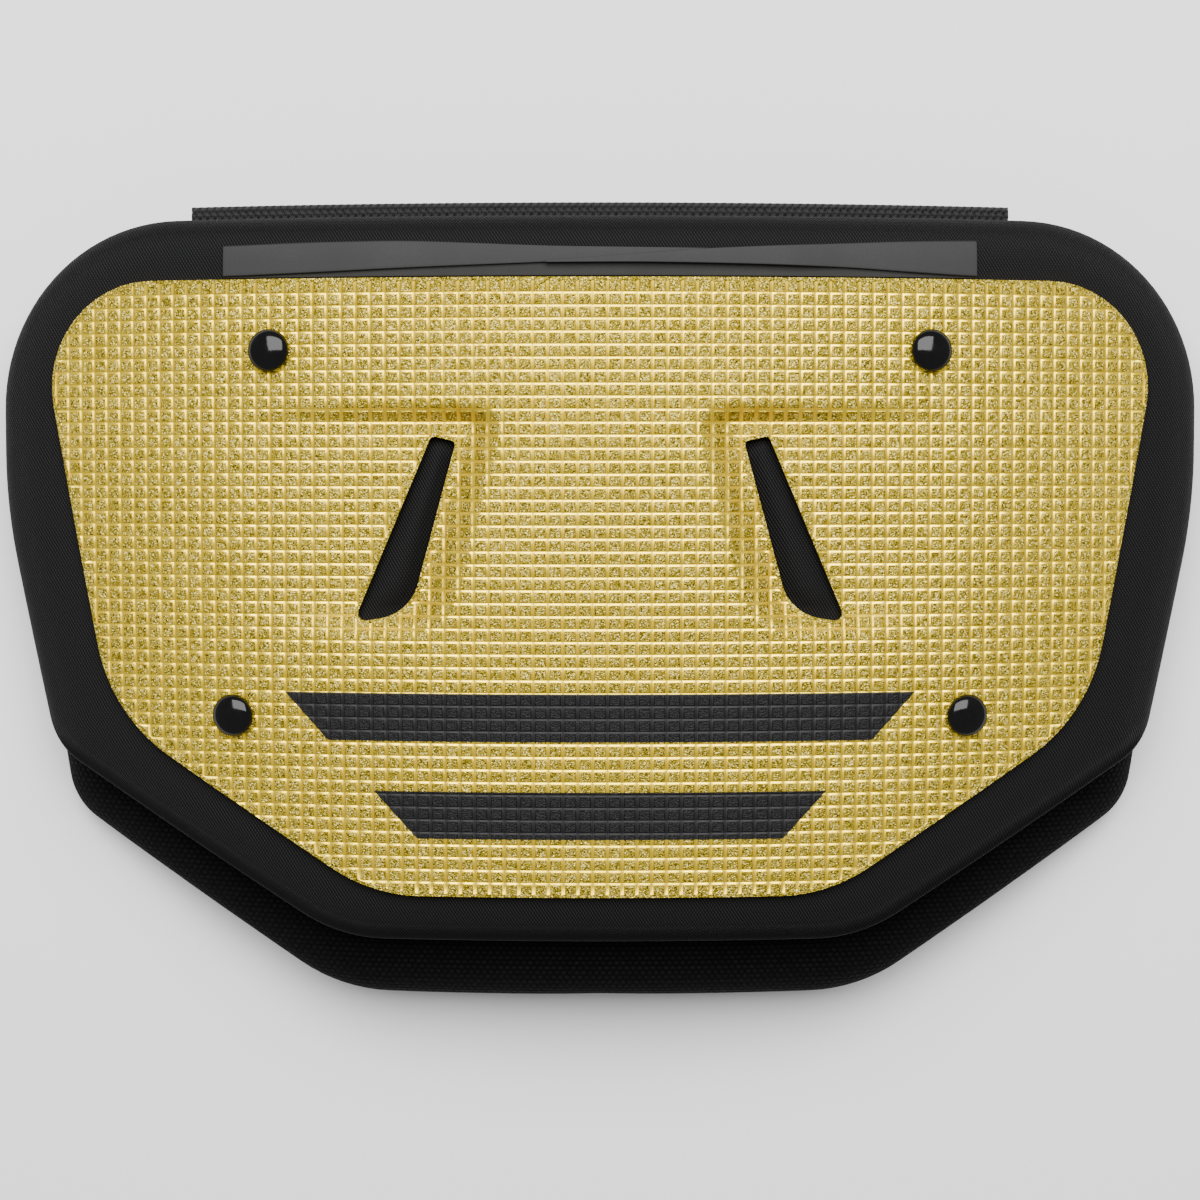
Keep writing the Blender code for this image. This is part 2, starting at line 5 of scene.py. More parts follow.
import bmesh
import bpy
from bpy.props import FloatProperty, FloatVectorProperty, PointerProperty
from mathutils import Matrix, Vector


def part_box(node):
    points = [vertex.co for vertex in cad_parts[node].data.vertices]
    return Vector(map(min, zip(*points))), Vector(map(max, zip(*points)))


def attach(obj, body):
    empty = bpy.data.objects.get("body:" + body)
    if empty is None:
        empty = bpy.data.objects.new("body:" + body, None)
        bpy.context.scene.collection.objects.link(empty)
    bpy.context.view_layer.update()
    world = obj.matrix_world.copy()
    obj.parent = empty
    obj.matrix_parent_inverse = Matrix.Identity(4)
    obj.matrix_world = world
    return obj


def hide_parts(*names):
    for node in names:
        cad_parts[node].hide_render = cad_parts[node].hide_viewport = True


bl_info = {
    "name": "Football back plate",
    "version": (1, 0, 0),
    "blender": (4, 5, 0),
    "location": "3D View > Sidebar > Back plate",
    "description": "Builds the visible pieces of a football back plate around its fixed frame",
    "category": "Object",
}

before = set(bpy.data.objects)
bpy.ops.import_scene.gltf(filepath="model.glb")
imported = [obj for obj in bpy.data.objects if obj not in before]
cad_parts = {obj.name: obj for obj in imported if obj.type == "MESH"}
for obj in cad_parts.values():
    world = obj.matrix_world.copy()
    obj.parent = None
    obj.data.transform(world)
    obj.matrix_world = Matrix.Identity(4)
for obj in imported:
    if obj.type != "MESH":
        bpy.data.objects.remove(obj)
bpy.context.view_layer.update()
BODY = "root"

# Sizes of the frame, in metres
GAP = 0.0003
ARCH_RADIUS = 0.410
BOW_RADIUS = 0.900
PLATE_WIDTH = 0.3068
PLATE_HEIGHT = 0.1628
PLATE_THICKNESS = 0.0020
FRONT_RIM_SIDE = 0.0108
FRONT_PAD_THICKNESS = 0.0140
REAR_PAD_THICKNESS = 0.0175
REAR_INSET_SIDE = 0.0032
PLATE_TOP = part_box("front_plate")[1].y
PLATE_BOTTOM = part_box("front_plate")[0].y
FRONT_PAD_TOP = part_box("front_pad")[1].y
FRONT_PAD_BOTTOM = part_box("front_pad")[0].y
REAR_PAD_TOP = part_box("rear_pad")[1].y
REAR_PAD_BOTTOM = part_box("rear_pad")[0].y
FRONT_PAD_WIDTH = PLATE_WIDTH + 2 * FRONT_RIM_SIDE
REAR_PAD_WIDTH = FRONT_PAD_WIDTH - 2 * REAR_INSET_SIDE
WEBBING_LOW, WEBBING_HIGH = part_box("top_webbing")
CROWN_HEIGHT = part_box("front_plate")[1].z
BOW_CENTRE = PLATE_TOP - 0.0635
FRONT_TOP_DROP = PLATE_THICKNESS + GAP
FRONT_BOTTOM_DROP = FRONT_TOP_DROP + FRONT_PAD_THICKNESS
REAR_TOP_DROP = FRONT_BOTTOM_DROP + GAP
REAR_BOTTOM_DROP = REAR_TOP_DROP + REAR_PAD_THICKNESS

# Rolled rims of both pads
ROLL_WIDTH = 0.0120
ROLL_UPPER = 0.0085
ROLL_LOWER = 0.0050

# Recesses of the plate
SCOOP_TOP = PLATE_TOP - 0.0326
SCOOP_BOTTOM = SCOOP_TOP - 0.0620
SCOOP_DEPTH = 0.0050
SCOOP_INNER_REACH = 0.0228
SCOOP_INNER_LEAN = 0.268
SCOOP_OUTER_REACH = 0.0950
SCOOP_TOP_WALL = 0.0050
SCOOP_SIDE_WALL = 0.0105
SCOOP_BOTTOM_WALL = 0.0095
SCOOP_CORNER = 1.3
HOLLOW_EASE = 0.0012

# Grooves of the plate: the flanks on both sides of a groove's bottom, as shares of the pitch, and the places
# of the recess walls, which get more mesh lines
FLANKS_ACROSS = {"before": 0.18, "after": 0.18}
FLANKS_DOWN = {"before": 0.21, "after": 0.10}
INNER_WALL = (SCOOP_INNER_REACH - 0.003, SCOOP_INNER_REACH + 0.026)
UPPER_WALL = (SCOOP_TOP - 0.008, SCOOP_TOP + 0.003)
LOWER_WALL = (SCOOP_BOTTOM - 0.003, SCOOP_BOTTOM + 0.010)
WALL_STEPS = 3

# Edge and print of the plate
EDGE_BORDER = 0.0007
PRINT_SOFTNESS = 0.00025
PRINTED_BARS = (
    {"top": -0.0215, "bottom": -0.0345, "reach": 0.0835, "slant": 0.9},
    {"top": -0.0475, "bottom": -0.0605, "reach": 0.0600, "slant": 0.9},
)

# Slots of the plate
SLOT_TOP_REACH = 0.0377
SLOT_BELOW_SCOOP_TOP = 0.0100
SLOT_HEIGHT = 0.0476
SLOT_SPREAD = 0.0270
SLOT_CORNERS = (
    {"across": 0.240, "fall": -0.030, "rounding": 0.025, "steps": 2},
    {"across": 0.000, "fall": 0.000, "rounding": 0.025, "steps": 2},
    {"across": 0.455, "fall": 0.950, "rounding": 0.260, "steps": 10},
    {"across": 1.010, "fall": 1.000, "rounding": 0.040, "steps": 3},
)

# Right half of each outline from its top edge down: reach as a share of the half width, rise and rounding
# as shares of the height, steps on the arc and on the straight run below it
PLATE_CORNERS = (
    {"reach": 1.000, "rise": 1.000, "rounding": 0.172, "arc": 12, "run": 2},
    {"reach": 0.858, "rise": 0.287, "rounding": 0.276, "arc": 9, "run": 2},
    {"reach": 0.394, "rise": 0.000, "rounding": 0.264, "arc": 7, "run": 0},
)
FRONT_PAD_CORNERS = (
    {"reach": 1.000, "rise": 1.000, "rounding": 0.260, "arc": 24, "run": 3},
    {"reach": 0.998, "rise": 0.600, "rounding": 0.780, "arc": 10, "run": 14},
    {"reach": 0.915, "rise": 0.262, "rounding": 0.100, "arc": 10, "run": 20},
    {"reach": 0.427, "rise": 0.000, "rounding": 0.220, "arc": 12, "run": 0},
)
REAR_PAD_CORNERS = (
    {"reach": 1.000, "rise": 1.000, "rounding": 0.230, "arc": 14, "run": 3},
    {"reach": 0.995, "rise": 0.630, "rounding": 0.600, "arc": 6, "run": 12},
    {"reach": 0.920, "rise": 0.247, "rounding": 0.085, "arc": 8, "run": 14},
    {"reach": 0.447, "rise": 0.000, "rounding": 0.216, "arc": 8, "run": 0},
)

# Tongue edges: share of the length from the wide end, lower and upper edge as shares of the width
LEFT_TONGUE = (
    {"along": 0.00, "lower": 0.00, "upper": 0.84},
    {"along": 0.17, "lower": 0.07, "upper": 0.91},
    {"along": 0.37, "lower": 0.18, "upper": 0.93},
    {"along": 0.66, "lower": 0.32, "upper": 0.76},
    {"along": 0.81, "lower": 0.46, "upper": 0.73},
    {"along": 1.00, "lower": 0.66, "upper": 0.70},
)
RIGHT_TONGUE = (
    {"along": 0.00, "lower": 0.00, "upper": 1.00},
    {"along": 0.18, "lower": 0.11, "upper": 0.94},
    {"along": 0.30, "lower": 0.20, "upper": 0.87},
    {"along": 0.51, "lower": 0.27, "upper": 0.76},
    {"along": 0.65, "lower": 0.30, "upper": 0.68},
    {"along": 0.79, "lower": 0.32, "upper": 0.54},
    {"along": 1.00, "lower": 0.31, "upper": 0.35},
)
TONGUE_ABOVE_PLATE = 0.0008
TONGUE_WIDTH = 0.0097
TONGUE_THICKNESS = 0.0008
TONGUE_SEAT = 0.0004
TONGUE_START_REACH = 0.0996
LEFT_TONGUE_LENGTH = 0.1307
RIGHT_TONGUE_LENGTH = 0.1138
TONGUE_SMOOTHING = 0.05
CLIMB_START = 0.034
CLIMB_RUN = 0.017
UNDER_STRIP_SEAT = 0.00008
UNDER_STRIP_THICKNESS = 0.00025
UNDER_STRIP_LOW = -0.04
UNDER_STRIP_END = 0.06
UNDER_STRIP_HUMP = 0.40
UNDER_STRIP_SHADE = 0.72

# Front pad: insets of the two rings inside its rim, the cloth in the slots, and the lip of its lower edge,
# with its lift at each ring of the rim as a share of the lip's height
HOLLOW_INSETS = (0.0300, 0.0210)
BULGE_MARGIN = 0.001
BULGE_RUN = 0.0060
LIP_START = -0.030
LIP_RUN = 0.012
LIP_LIFTS = {7: -0.8, 8: -0.7, 9: -0.2, 10: 1.0, 11: 1.3, 12: 0.6}
# Painted shade on the rolled rim from the first shaded ring outward, less of it on the lip rings as a
# painted highlight
LIP_RINGS = (10, 11)
LIP_PAINTED_HIGHLIGHT = 0.8
FIRST_SHADED_RING = 6
FIRST_RING_SHADE = 0.4

# Rear pad: the cloth that swells it, and the reach, depth and height within which its points are held
CLOTH_PRESSURE = 4
CLOTH_STIFFNESS = 25
CLOTH_BENDING = 3
CLOTH_FRAMES = 20
EVENING_TURNS = 8
SWELL_CAP = 0.0020
HELD_REACH = 0.001
HELD_DEPTH = 0.004
HELD_HEIGHT = 0.0005

# Webbing: its rounded edges and its knots, with a knot's row height, length, slant and fall as shares
WEBBING_THICKNESS = 0.0028
WEBBING_RELIEF = 0.0011
WEBBING_ROUNDING = 0.0012
KNOT_ROW = 0.36
KNOT_LENGTH = 0.5
KNOT_SLANT = 0.35
KNOT_FALL_ALONG = 3.969
KNOT_FALL_ACROSS = 3.2

# Snaps
SNAP_DIAMETER = 0.0112
SNAP_HEIGHT = 0.0034
SNAP_EDGE = 0.0008
SNAP_EDGE_INSET = 0.0006
SNAP_EDGE_STEP = 0.0001
SNAP_SHANK_RADIUS = 0.0020
SNAP_SHANK_DEPTH = 0.0070
SNAP_DOME_POWER = 0.9
SNAP_UPPER = (0.0867, PLATE_TOP - 0.0188)
SNAP_LOWER = (0.0971, PLATE_BOTTOM + 0.0478)

# Stage
FLOOR_REACH = 4
FLOOR_WHITE = 0.95
WORLD_STRENGTH = 0.40
SOFTBOX_PLACE = (0.0, 0.70, 1.25)
SOFTBOX_SIZE = (1.5, 1.1)
SOFTBOX_POWER = 50
PHOTO_PIXELS = 1200
FOCAL_PIXELS = 2630
SENSOR_WIDTH = 36
CAMERA_CLIP = (0.01, 20)


def arch_fall(x, y):
    """How far a bent layer lies below its crown at (x, y)."""
    across = ARCH_RADIUS - math.sqrt(ARCH_RADIUS ** 2 - x ** 2)
    return across + (y - BOW_CENTRE) ** 2 / (2 * BOW_RADIUS)


def face_height(x, y):
    """Height of the plate's front face, without its recesses."""
    return CROWN_HEIGHT - arch_fall(x, y)


def face_normal(x, y):
    """Outward direction of the plate's front face."""
    slope_x = x / math.sqrt(ARCH_RADIUS ** 2 - x ** 2)
    return Vector((slope_x, (y - BOW_CENTRE) / BOW_RADIUS, 1)).normalized()


def smooth_step(value):
    """0 below 0, 1 above 1, and a soft S between."""
    share = min(max(value, 0), 1)
    return share * share * (3 - 2 * share)


def rounded_least(first, second, radius):
    """Least of two distances, with the corner between them rounded."""
    if first < radius and second < radius:
        return radius - math.hypot(radius - first, radius - second)
    return min(first, second)


def scoop_inner_edge(y):
    """Reach of the recess's inner edge at a height, with the lean ending at the recess."""
    level = min(max(y, SCOOP_BOTTOM), SCOOP_TOP)
    return SCOOP_INNER_REACH + SCOOP_INNER_LEAN * (SCOOP_TOP - level)


def scoop_dip(x, y, ease=0):
    """Depth of the recess at (x, y). An ease widens and deepens it."""
    reach = abs(x)
    if reach > SCOOP_OUTER_REACH + ease:
        return 0
    from_top = (SCOOP_TOP + ease - y) / SCOOP_TOP_WALL
    from_bottom = (y - SCOOP_BOTTOM + ease) / SCOOP_BOTTOM_WALL
    from_inner = (reach - scoop_inner_edge(y) + ease) / SCOOP_SIDE_WALL
    upper = rounded_least(from_top, from_inner, SCOOP_CORNER)
    lower = rounded_least(from_bottom, from_inner, SCOOP_CORNER)
    wall = smooth_step(min(upper, lower))
    foot = scoop_inner_edge(y) + SCOOP_SIDE_WALL
    ramp = min(max((SCOOP_OUTER_REACH + ease - reach) / (SCOOP_OUTER_REACH - foot), 0), 1)
    return (SCOOP_DEPTH + ease) * wall * ramp


def corner_arc(corner, before, after, radius, steps, side=1):
    """Points of a fillet. Side is 1 for an outline that runs clockwise and -1 for the other way."""
    turn = before.angle(after)
    inward = Vector((before.y, -before.x)) * side
    centre = corner - before * radius * math.tan(turn / 2) + inward * radius
    points = []
    for step in range(steps + 1):
        angle = turn * step / steps
        points.append(centre + (before * math.sin(angle) - inward * math.cos(angle)) * radius)
    return points


def side_outline(corners, width, top, bottom, inset=0.0):
    """Right side of an outline from its top edge to its bottom edge, moved inward by the inset."""
    height = top - bottom
    sharp = [Vector((0, top))]
    for corner in corners:
        sharp.append(Vector((corner["reach"] * width / 2, bottom + corner["rise"] * height)))
    sharp.append(Vector((0, bottom)))
    points = []
    for index, corner in enumerate(corners):
        before = (sharp[index + 1] - sharp[index]).normalized()
        after = (sharp[index + 2] - sharp[index + 1]).normalized()
        inward_before = Vector((before.y, -before.x))
        inward_after = Vector((after.y, -after.x))
        shift = (inward_before + inward_after) / (1 + inward_before.dot(inward_after))
        radius = max(corner["rounding"] * height - inset, GAP)
        arc = corner_arc(sharp[index + 1] + shift * inset, before, after, radius, corner["arc"])
        if points:
            steps = corners[index - 1]["run"]
            start = points[-1]
            for step in range(1, steps):
                points.append(start.lerp(arc[0], step / steps))
        points.extend(arc)
    return points


def slot_outline(side, ease=0.0):
    """Rounded outline of the left (-1) or right (1) slot, grown by the ease."""
    sharp = []
    for corner in SLOT_CORNERS:
        reach = SLOT_TOP_REACH + corner["across"] * SLOT_SPREAD
        sharp.append(Vector((reach, SCOOP_TOP - SLOT_BELOW_SCOOP_TOP - corner["fall"] * SLOT_HEIGHT)))
    middle = sum(sharp, Vector((0, 0))) / len(sharp)
    points = []
    for index, corner in enumerate(SLOT_CORNERS):
        before = (sharp[index] - sharp[index - 1]).normalized()
        after = (sharp[(index + 1) % len(sharp)] - sharp[index]).normalized()
        arc = corner_arc(sharp[index], before, after, corner["rounding"] * SLOT_HEIGHT, corner["steps"], -1)
        points.extend(arc)
    grown = [point + (point - middle).normalized() * ease for point in points]
    return [Vector((side * point.x, point.y)) for point in grown]


def distance_inside(outline, x, y):
    """How far (x, y) lies inside a convex outline. Negative is outside."""
    least = math.inf
    area = sum(start.x * end.y - end.x * start.y for start, end in zip(outline, outline[1:] + outline[:1]))
    turn = 1 if area > 0 else -1
    for start, end in zip(outline, outline[1:] + outline[:1]):
        along = (end - start).normalized()
        least = min(least, turn * (along.x * (y - start.y) - along.y * (x - start.x)))
    return least


class PlateSettings(bpy.types.PropertyGroup):
    """Finish of the front plate."""

    cell_pitch_across: FloatProperty(
        name="Cell pitch across", description="Distance between upright grooves, along the bend",
        default=0.00389, min=0.001, max=0.02, subtype="DISTANCE", unit="LENGTH", precision=5,
    )
    cell_pitch_down: FloatProperty(
        name="Cell pitch down", description="Distance between level grooves",
        default=0.00337, min=0.001, max=0.02, subtype="DISTANCE", unit="LENGTH", precision=5,
    )
    groove_depth: FloatProperty(
        name="Groove depth", description="Depth of the grooves between the raised squares",
        default=0.00032, min=0.0, max=0.002, subtype="DISTANCE", unit="LENGTH", precision=5,
    )
    gold: FloatVectorProperty(
        name="Gold", description="Colour of the smooth grooves", default=(0.86, 0.612, 0.032),
        subtype="COLOR", size=3, min=0, max=1,
    )
    olive: FloatVectorProperty(
        name="Olive gold", description="Colour of the glittered squares", default=(0.33, 0.245, 0.013),
        subtype="COLOR", size=3, min=0, max=1,
    )


class PadSettings(bpy.types.PropertyGroup):
    """Shape and finish of the two pads."""

    nylon: FloatVectorProperty(
        name="Nylon", description="Colour of the woven nylon", default=(0.0058, 0.0058, 0.0060),
        subtype="COLOR", size=3, min=0, max=1,
    )
    mesh_cloth: FloatVectorProperty(
        name="Mesh cloth", description="Colour of the coarse mesh", default=(0.0028, 0.0028, 0.0031),
        subtype="COLOR", size=3, min=0, max=1,
    )
    weave_pitch: FloatProperty(
        name="Weave pitch", description="Distance between the nylon's ribs",
        default=0.00084, min=0.0001, max=0.005, subtype="DISTANCE", unit="LENGTH", precision=5,
    )
    mesh_pitch: FloatProperty(
        name="Mesh pitch", description="Distance between the mesh cloth's knots",
        default=0.00180, min=0.0002, max=0.01, subtype="DISTANCE", unit="LENGTH", precision=5,
    )
    slot_bulge: FloatProperty(
        name="Slot bulge", description="How far the pad's cloth bulges into the plate's slots",
        default=0.0031, min=0.0, max=0.004, subtype="DISTANCE", unit="LENGTH", precision=5,
    )
    lip_height: FloatProperty(
        name="Lip height", description="Height of the folded lip along the lower edge",
        default=0.0011, min=0.0, max=0.003, subtype="DISTANCE", unit="LENGTH", precision=5,
    )


class TrimSettings(bpy.types.PropertyGroup):
    """Finish of the webbing, the tongues and the snaps."""

    webbing: FloatVectorProperty(
        name="Webbing", description="Colour of the webbing", default=(0.0105, 0.0105, 0.0108),
        subtype="COLOR", size=3, min=0, max=1,
    )
    braid_pitch: FloatProperty(
        name="Braid pitch", description="Length of one knot of the webbing",
        default=0.0041, min=0.001, max=0.02, subtype="DISTANCE", unit="LENGTH", precision=5,
    )
    tongue: FloatVectorProperty(
        name="Tongue", description="Colour of the grey tongues", default=(0.031, 0.031, 0.0315),
        subtype="COLOR", size=3, min=0, max=1,
    )
    enamel: FloatVectorProperty(
        name="Enamel", description="Colour of the snap caps", default=(0.0012, 0.0012, 0.0014),
        subtype="COLOR", size=3, min=0, max=1,
    )


class StageSettings(bpy.types.PropertyGroup):
    """Floor, light and camera."""

    camera_height: FloatProperty(
        name="Camera height", description="Height of the camera above the plate's crown",
        default=0.6825, min=0.2, max=5, subtype="DISTANCE", unit="LENGTH",
    )
    camera_tilt: FloatProperty(
        name="Camera tilt", description="Tilt of the view from straight down",
        default=math.radians(3.26), min=0, max=1.5, subtype="ANGLE", unit="ROTATION",
    )
    camera_rise: FloatProperty(
        name="Camera rise", description="Place of the camera towards the part's top edge",
        default=0.0420, min=-1, max=1, subtype="DISTANCE", unit="LENGTH",
    )
    light_power: FloatProperty(
        name="Light power", description="Share of the studio light's full power",
        default=1.0, min=0, max=10,
    )


def new_tree(name):
    """An empty node material and its Principled shader."""
    material = bpy.data.materials.new(name)
    material.use_nodes = True
    return material, material.node_tree, material.node_tree.nodes["Principled BSDF"]


def fill(tree, node, inputs):
    """Set a node's inputs to values, or link them to sockets."""
    for key, value in inputs.items():
        if isinstance(value, bpy.types.NodeSocket):
            tree.links.new(value, node.inputs[key])
        else:
            node.inputs[key].default_value = value


def add(tree, kind, inputs=None, **settings):
    """A node with its settings and inputs."""
    node = tree.nodes.new(kind)
    for key, value in settings.items():
        setattr(node, key, value)
    fill(tree, node, inputs or {})
    return node


def math_node(tree, operation, first, second=0.0, third=0.0):
    """Result of a Math node."""
    return add(tree, "ShaderNodeMath", {0: first, 1: second, 2: third}, operation=operation).outputs[0]


def mix_colour(tree, factor, first, second):
    """Result of a colour mix."""
    node = add(tree, "ShaderNodeMix", {"Factor": factor}, data_type="RGBA")
    for key, value in ((6, first), (7, second)):
        opaque = value if isinstance(value, bpy.types.NodeSocket) else (*value, 1)
        fill(tree, node, {key: opaque})
    return node.outputs[2]


def scaled(colour, share):
    """A colour made darker or lighter."""
    return [min(value * share, 1) for value in colour]


def stretch(tree, value, low, high, new_low=0.0, new_high=1.0):
    """A value spread from one range to another."""
    inputs = {"Value": value, "From Min": low, "From Max": high, "To Min": new_low, "To Max": new_high}
    return add(tree, "ShaderNodeMapRange", inputs).outputs[0]


def new_group(name, inputs, outputs):
    """A shader node group, its input node and its output node."""
    group = bpy.data.node_groups.new(name, "ShaderNodeTree")
    for label, kind, value in inputs:
        socket = group.interface.new_socket(name=label, in_out="INPUT", socket_type=kind)
        if value is not None:
            socket.default_value = value
    for label, kind in outputs:
        group.interface.new_socket(name=label, in_out="OUTPUT", socket_type=kind)
    return group, group.nodes.new("NodeGroupInput"), group.nodes.new("NodeGroupOutput")


def weave_group():
    """Diagonal weave: height and mask of fine slanted ribs that are crossed by shorter ones."""
    group, given, result = new_group(
        "cloth_weave",
        [("Vector", "NodeSocketVector", None), ("Pitch", "NodeSocketFloat", 0.0006),
         ("Slant", "NodeSocketFloat", 1.0), ("Unevenness", "NodeSocketFloat", 0.2)],
        [("Height", "NodeSocketFloat"), ("Mask", "NodeSocketFloat")],
    )
    parts = add(group, "ShaderNodeSeparateXYZ", {0: given.outputs["Vector"]})
    slanted = math_node(group, "MULTIPLY", parts.outputs[1], given.outputs["Slant"])
    turns = 2 * math.pi
    first = math_node(group, "ADD", parts.outputs[0], slanted)
    second = math_node(group, "SUBTRACT", parts.outputs[0], slanted)
    first = math_node(group, "DIVIDE", math_node(group, "MULTIPLY", first, turns), given.outputs["Pitch"])
    second = math_node(group, "DIVIDE", math_node(group, "MULTIPLY", second, turns), given.outputs["Pitch"])
    first = stretch(group, math_node(group, "SINE", first), -1, 1)
    second = stretch(group, math_node(group, "SINE", second), -1, 1)
    crossed = math_node(group, "MULTIPLY", first, stretch(group, second, 0, 1, 0.45, 1))
    noise_inputs = {"Vector": given.outputs["Vector"], "Scale": 900.0, "Detail": 2.0}
    noise = add(group, "ShaderNodeTexNoise", noise_inputs)
    uneven = math_node(group, "MULTIPLY", noise.outputs[0], given.outputs["Unevenness"])
    fill(group, result, {"Height": math_node(group, "ADD", crossed, uneven), "Mask": crossed})
    return group


def knot_group():
    """Staggered knots: height of round bumps in offset rows, and a random value for each knot."""
    group, given, result = new_group(
        "cloth_knots",
        [("Vector", "NodeSocketVector", None), ("Pitch", "NodeSocketFloat", 0.0013),
         ("Flatness", "NodeSocketFloat", 0.7)],
        [("Height", "NodeSocketFloat"), ("Random", "NodeSocketFloat")],
    )
    parts = add(group, "ShaderNodeSeparateXYZ", {0: given.outputs["Vector"]})
    across = math_node(group, "DIVIDE", parts.outputs[0], given.outputs["Pitch"])
    pitch_down = math_node(group, "MULTIPLY", given.outputs["Pitch"], given.outputs["Flatness"])
    down = math_node(group, "DIVIDE", parts.outputs[1], pitch_down)
    row = math_node(group, "FLOOR", down)
    offset = math_node(group, "MULTIPLY", math_node(group, "FLOORED_MODULO", row, 2.0), 0.5)
    across = math_node(group, "ADD", across, offset)
    column = math_node(group, "FLOOR", across)
    local_x = math_node(group, "SUBTRACT", math_node(group, "SUBTRACT", across, column), 0.5)
    local_y = math_node(group, "SUBTRACT", math_node(group, "SUBTRACT", down, row), 0.5)
    squared_x = math_node(group, "MULTIPLY", local_x, local_x)
    squared_y = math_node(group, "MULTIPLY", local_y, local_y)
    height = stretch(group, math_node(group, "ADD", squared_x, squared_y), 0.02, 0.24, 1, 0)
    cell = add(group, "ShaderNodeCombineXYZ", {0: column, 1: row})
    noise = add(group, "ShaderNodeTexWhiteNoise", {"Vector": cell.outputs[0]}, noise_dimensions="2D")
    fill(group, result, {"Height": height, "Random": noise.outputs["Value"]})
    return group


def grain_group():
    """Soft uneven grain for handled surfaces: a mask of large patches and one of fine specks."""
    group, given, result = new_group(
        "surface_grain",
        [("Vector", "NodeSocketVector", None), ("Patch Scale", "NodeSocketFloat", 25.0),
         ("Speck Scale", "NodeSocketFloat", 1500.0)],
        [("Patches", "NodeSocketFloat"), ("Specks", "NodeSocketFloat")],
    )
    for label, scale, detail, low, high in (
        ("Patches", "Patch Scale", 4.0, 0.3, 0.7),
        ("Specks", "Speck Scale", 1.0, 0.35, 0.65),
    ):
        inputs = {"Vector": given.outputs["Vector"], "Scale": given.outputs[scale], "Detail": detail}
        noise = add(group, "ShaderNodeTexNoise", inputs)
        fill(group, result, {label: stretch(group, noise.outputs[0], low, high)})
    return group


def group_node(tree, name, **inputs):
    """A shared node group placed in a material."""
    makers = {"cloth_weave": weave_group, "cloth_knots": knot_group, "surface_grain": grain_group}
    group = bpy.data.node_groups.get(name) or makers[name]()
    labelled = {key.replace("_", " ").title(): value for key, value in inputs.items()}
    return add(tree, "ShaderNodeGroup", labelled, node_tree=group)


def attribute(tree, name):
    """A mesh attribute's node."""
    return add(tree, "ShaderNodeAttribute", attribute_name=name)


def bump(tree, height, distance, strength=1.0, normal=None):
    """Normal of a bumped surface."""
    inputs = {"Height": height, "Distance": distance, "Strength": strength}
    if normal:
        inputs["Normal"] = normal
    return add(tree, "ShaderNodeBump", inputs).outputs[0]


def bar_mask(tree, place, bar):
    """1 inside a level bar with slanted ends, on object coordinates."""
    parts = add(tree, "ShaderNodeSeparateXYZ", {0: place})
    half = (bar["top"] - bar["bottom"]) / 2
    above_middle = math_node(tree, "SUBTRACT", parts.outputs[1], bar["bottom"] + half)
    level = stretch(tree, math_node(tree, "ABSOLUTE", above_middle), half, half - PRINT_SOFTNESS)
    fall = math_node(tree, "SUBTRACT", bar["top"], parts.outputs[1])
    reach = math_node(tree, "SUBTRACT", bar["reach"], math_node(tree, "MULTIPLY", fall, bar["slant"]))
    over = math_node(tree, "SUBTRACT", math_node(tree, "ABSOLUTE", parts.outputs[0]), reach)
    ends = stretch(tree, over, 0.0, -PRINT_SOFTNESS)
    return math_node(tree, "MULTIPLY", level, ends)


def gold_material(settings):
    """Glittered squares between smooth gold grooves, with two printed black bars."""
    material, tree, shader = new_tree("embossed_gold")
    place = add(tree, "ShaderNodeTexCoord").outputs["Object"]
    groove = stretch(tree, attribute(tree, "relief").outputs["Fac"], 0.05, 0.35)
    # Painted highlight: the level grooves get a lighter gold, broken where the upright grooves cross
    bar = stretch(tree, attribute(tree, "bar").outputs["Fac"], 0.05, 0.4)
    printed = math_node(tree, "MAXIMUM", *[bar_mask(tree, place, bar) for bar in PRINTED_BARS])

    flakes = add(tree, "ShaderNodeTexVoronoi", {"Vector": place, "Scale": 3300.0})
    flake_parts = add(tree, "ShaderNodeSeparateColor", {0: flakes.outputs["Color"]})
    sparkle = stretch(tree, flake_parts.outputs[0], 0.70, 0.90)
    dark_flake = stretch(tree, flake_parts.outputs[1], 0.5, 0.15)
    grain = group_node(tree, "surface_grain", vector=place)

    square = mix_colour(tree, grain.outputs["Patches"], settings.olive, scaled(settings.olive, 1.2))
    square = mix_colour(tree, dark_flake, square, scaled(settings.olive, 0.28))
    square = mix_colour(tree, sparkle, square, (0.95, 0.76, 0.20))
    # Groove gold, lighter on the level grooves as a painted highlight
    smooth = mix_colour(tree, bar, settings.gold, scaled(settings.gold, 1.2))
    gold = mix_colour(tree, groove, square, smooth)
    # Black ink of the print, painted lighter in the grooves as a painted highlight
    ink_with_groove_highlight = mix_colour(tree, groove, (0.0022, 0.0022, 0.0025), (0.0085, 0.0085, 0.0085))
    tree.links.new(mix_colour(tree, printed, gold, ink_with_groove_highlight), shader.inputs["Base Color"])

    rough = stretch(tree, groove, 0, 1, 0.52, 0.40)
    rough = math_node(tree, "SUBTRACT", rough, math_node(tree, "MULTIPLY", bar, 0.13))
    inked_rough = math_node(tree, "MAXIMUM", rough, math_node(tree, "MULTIPLY", printed, 0.55))
    tree.links.new(inked_rough, shader.inputs["Roughness"])
    metal = math_node(tree, "MULTIPLY", stretch(tree, printed, 0, 1, 1, 0), 0.78)
    tree.links.new(metal, shader.inputs["Metallic"])
    shader.inputs["Specular IOR Level"].default_value = 0.3

    speckle = add(tree, "ShaderNodeTexNoise", {"Vector": place, "Scale": 2600.0, "Detail": 1.0})
    rough_height = math_node(tree, "MULTIPLY", speckle.outputs[0], stretch(tree, groove, 0, 1, 1, 0.06))
    tree.links.new(bump(tree, rough_height, 0.00040, 1.0), shader.inputs["Normal"])
    return material


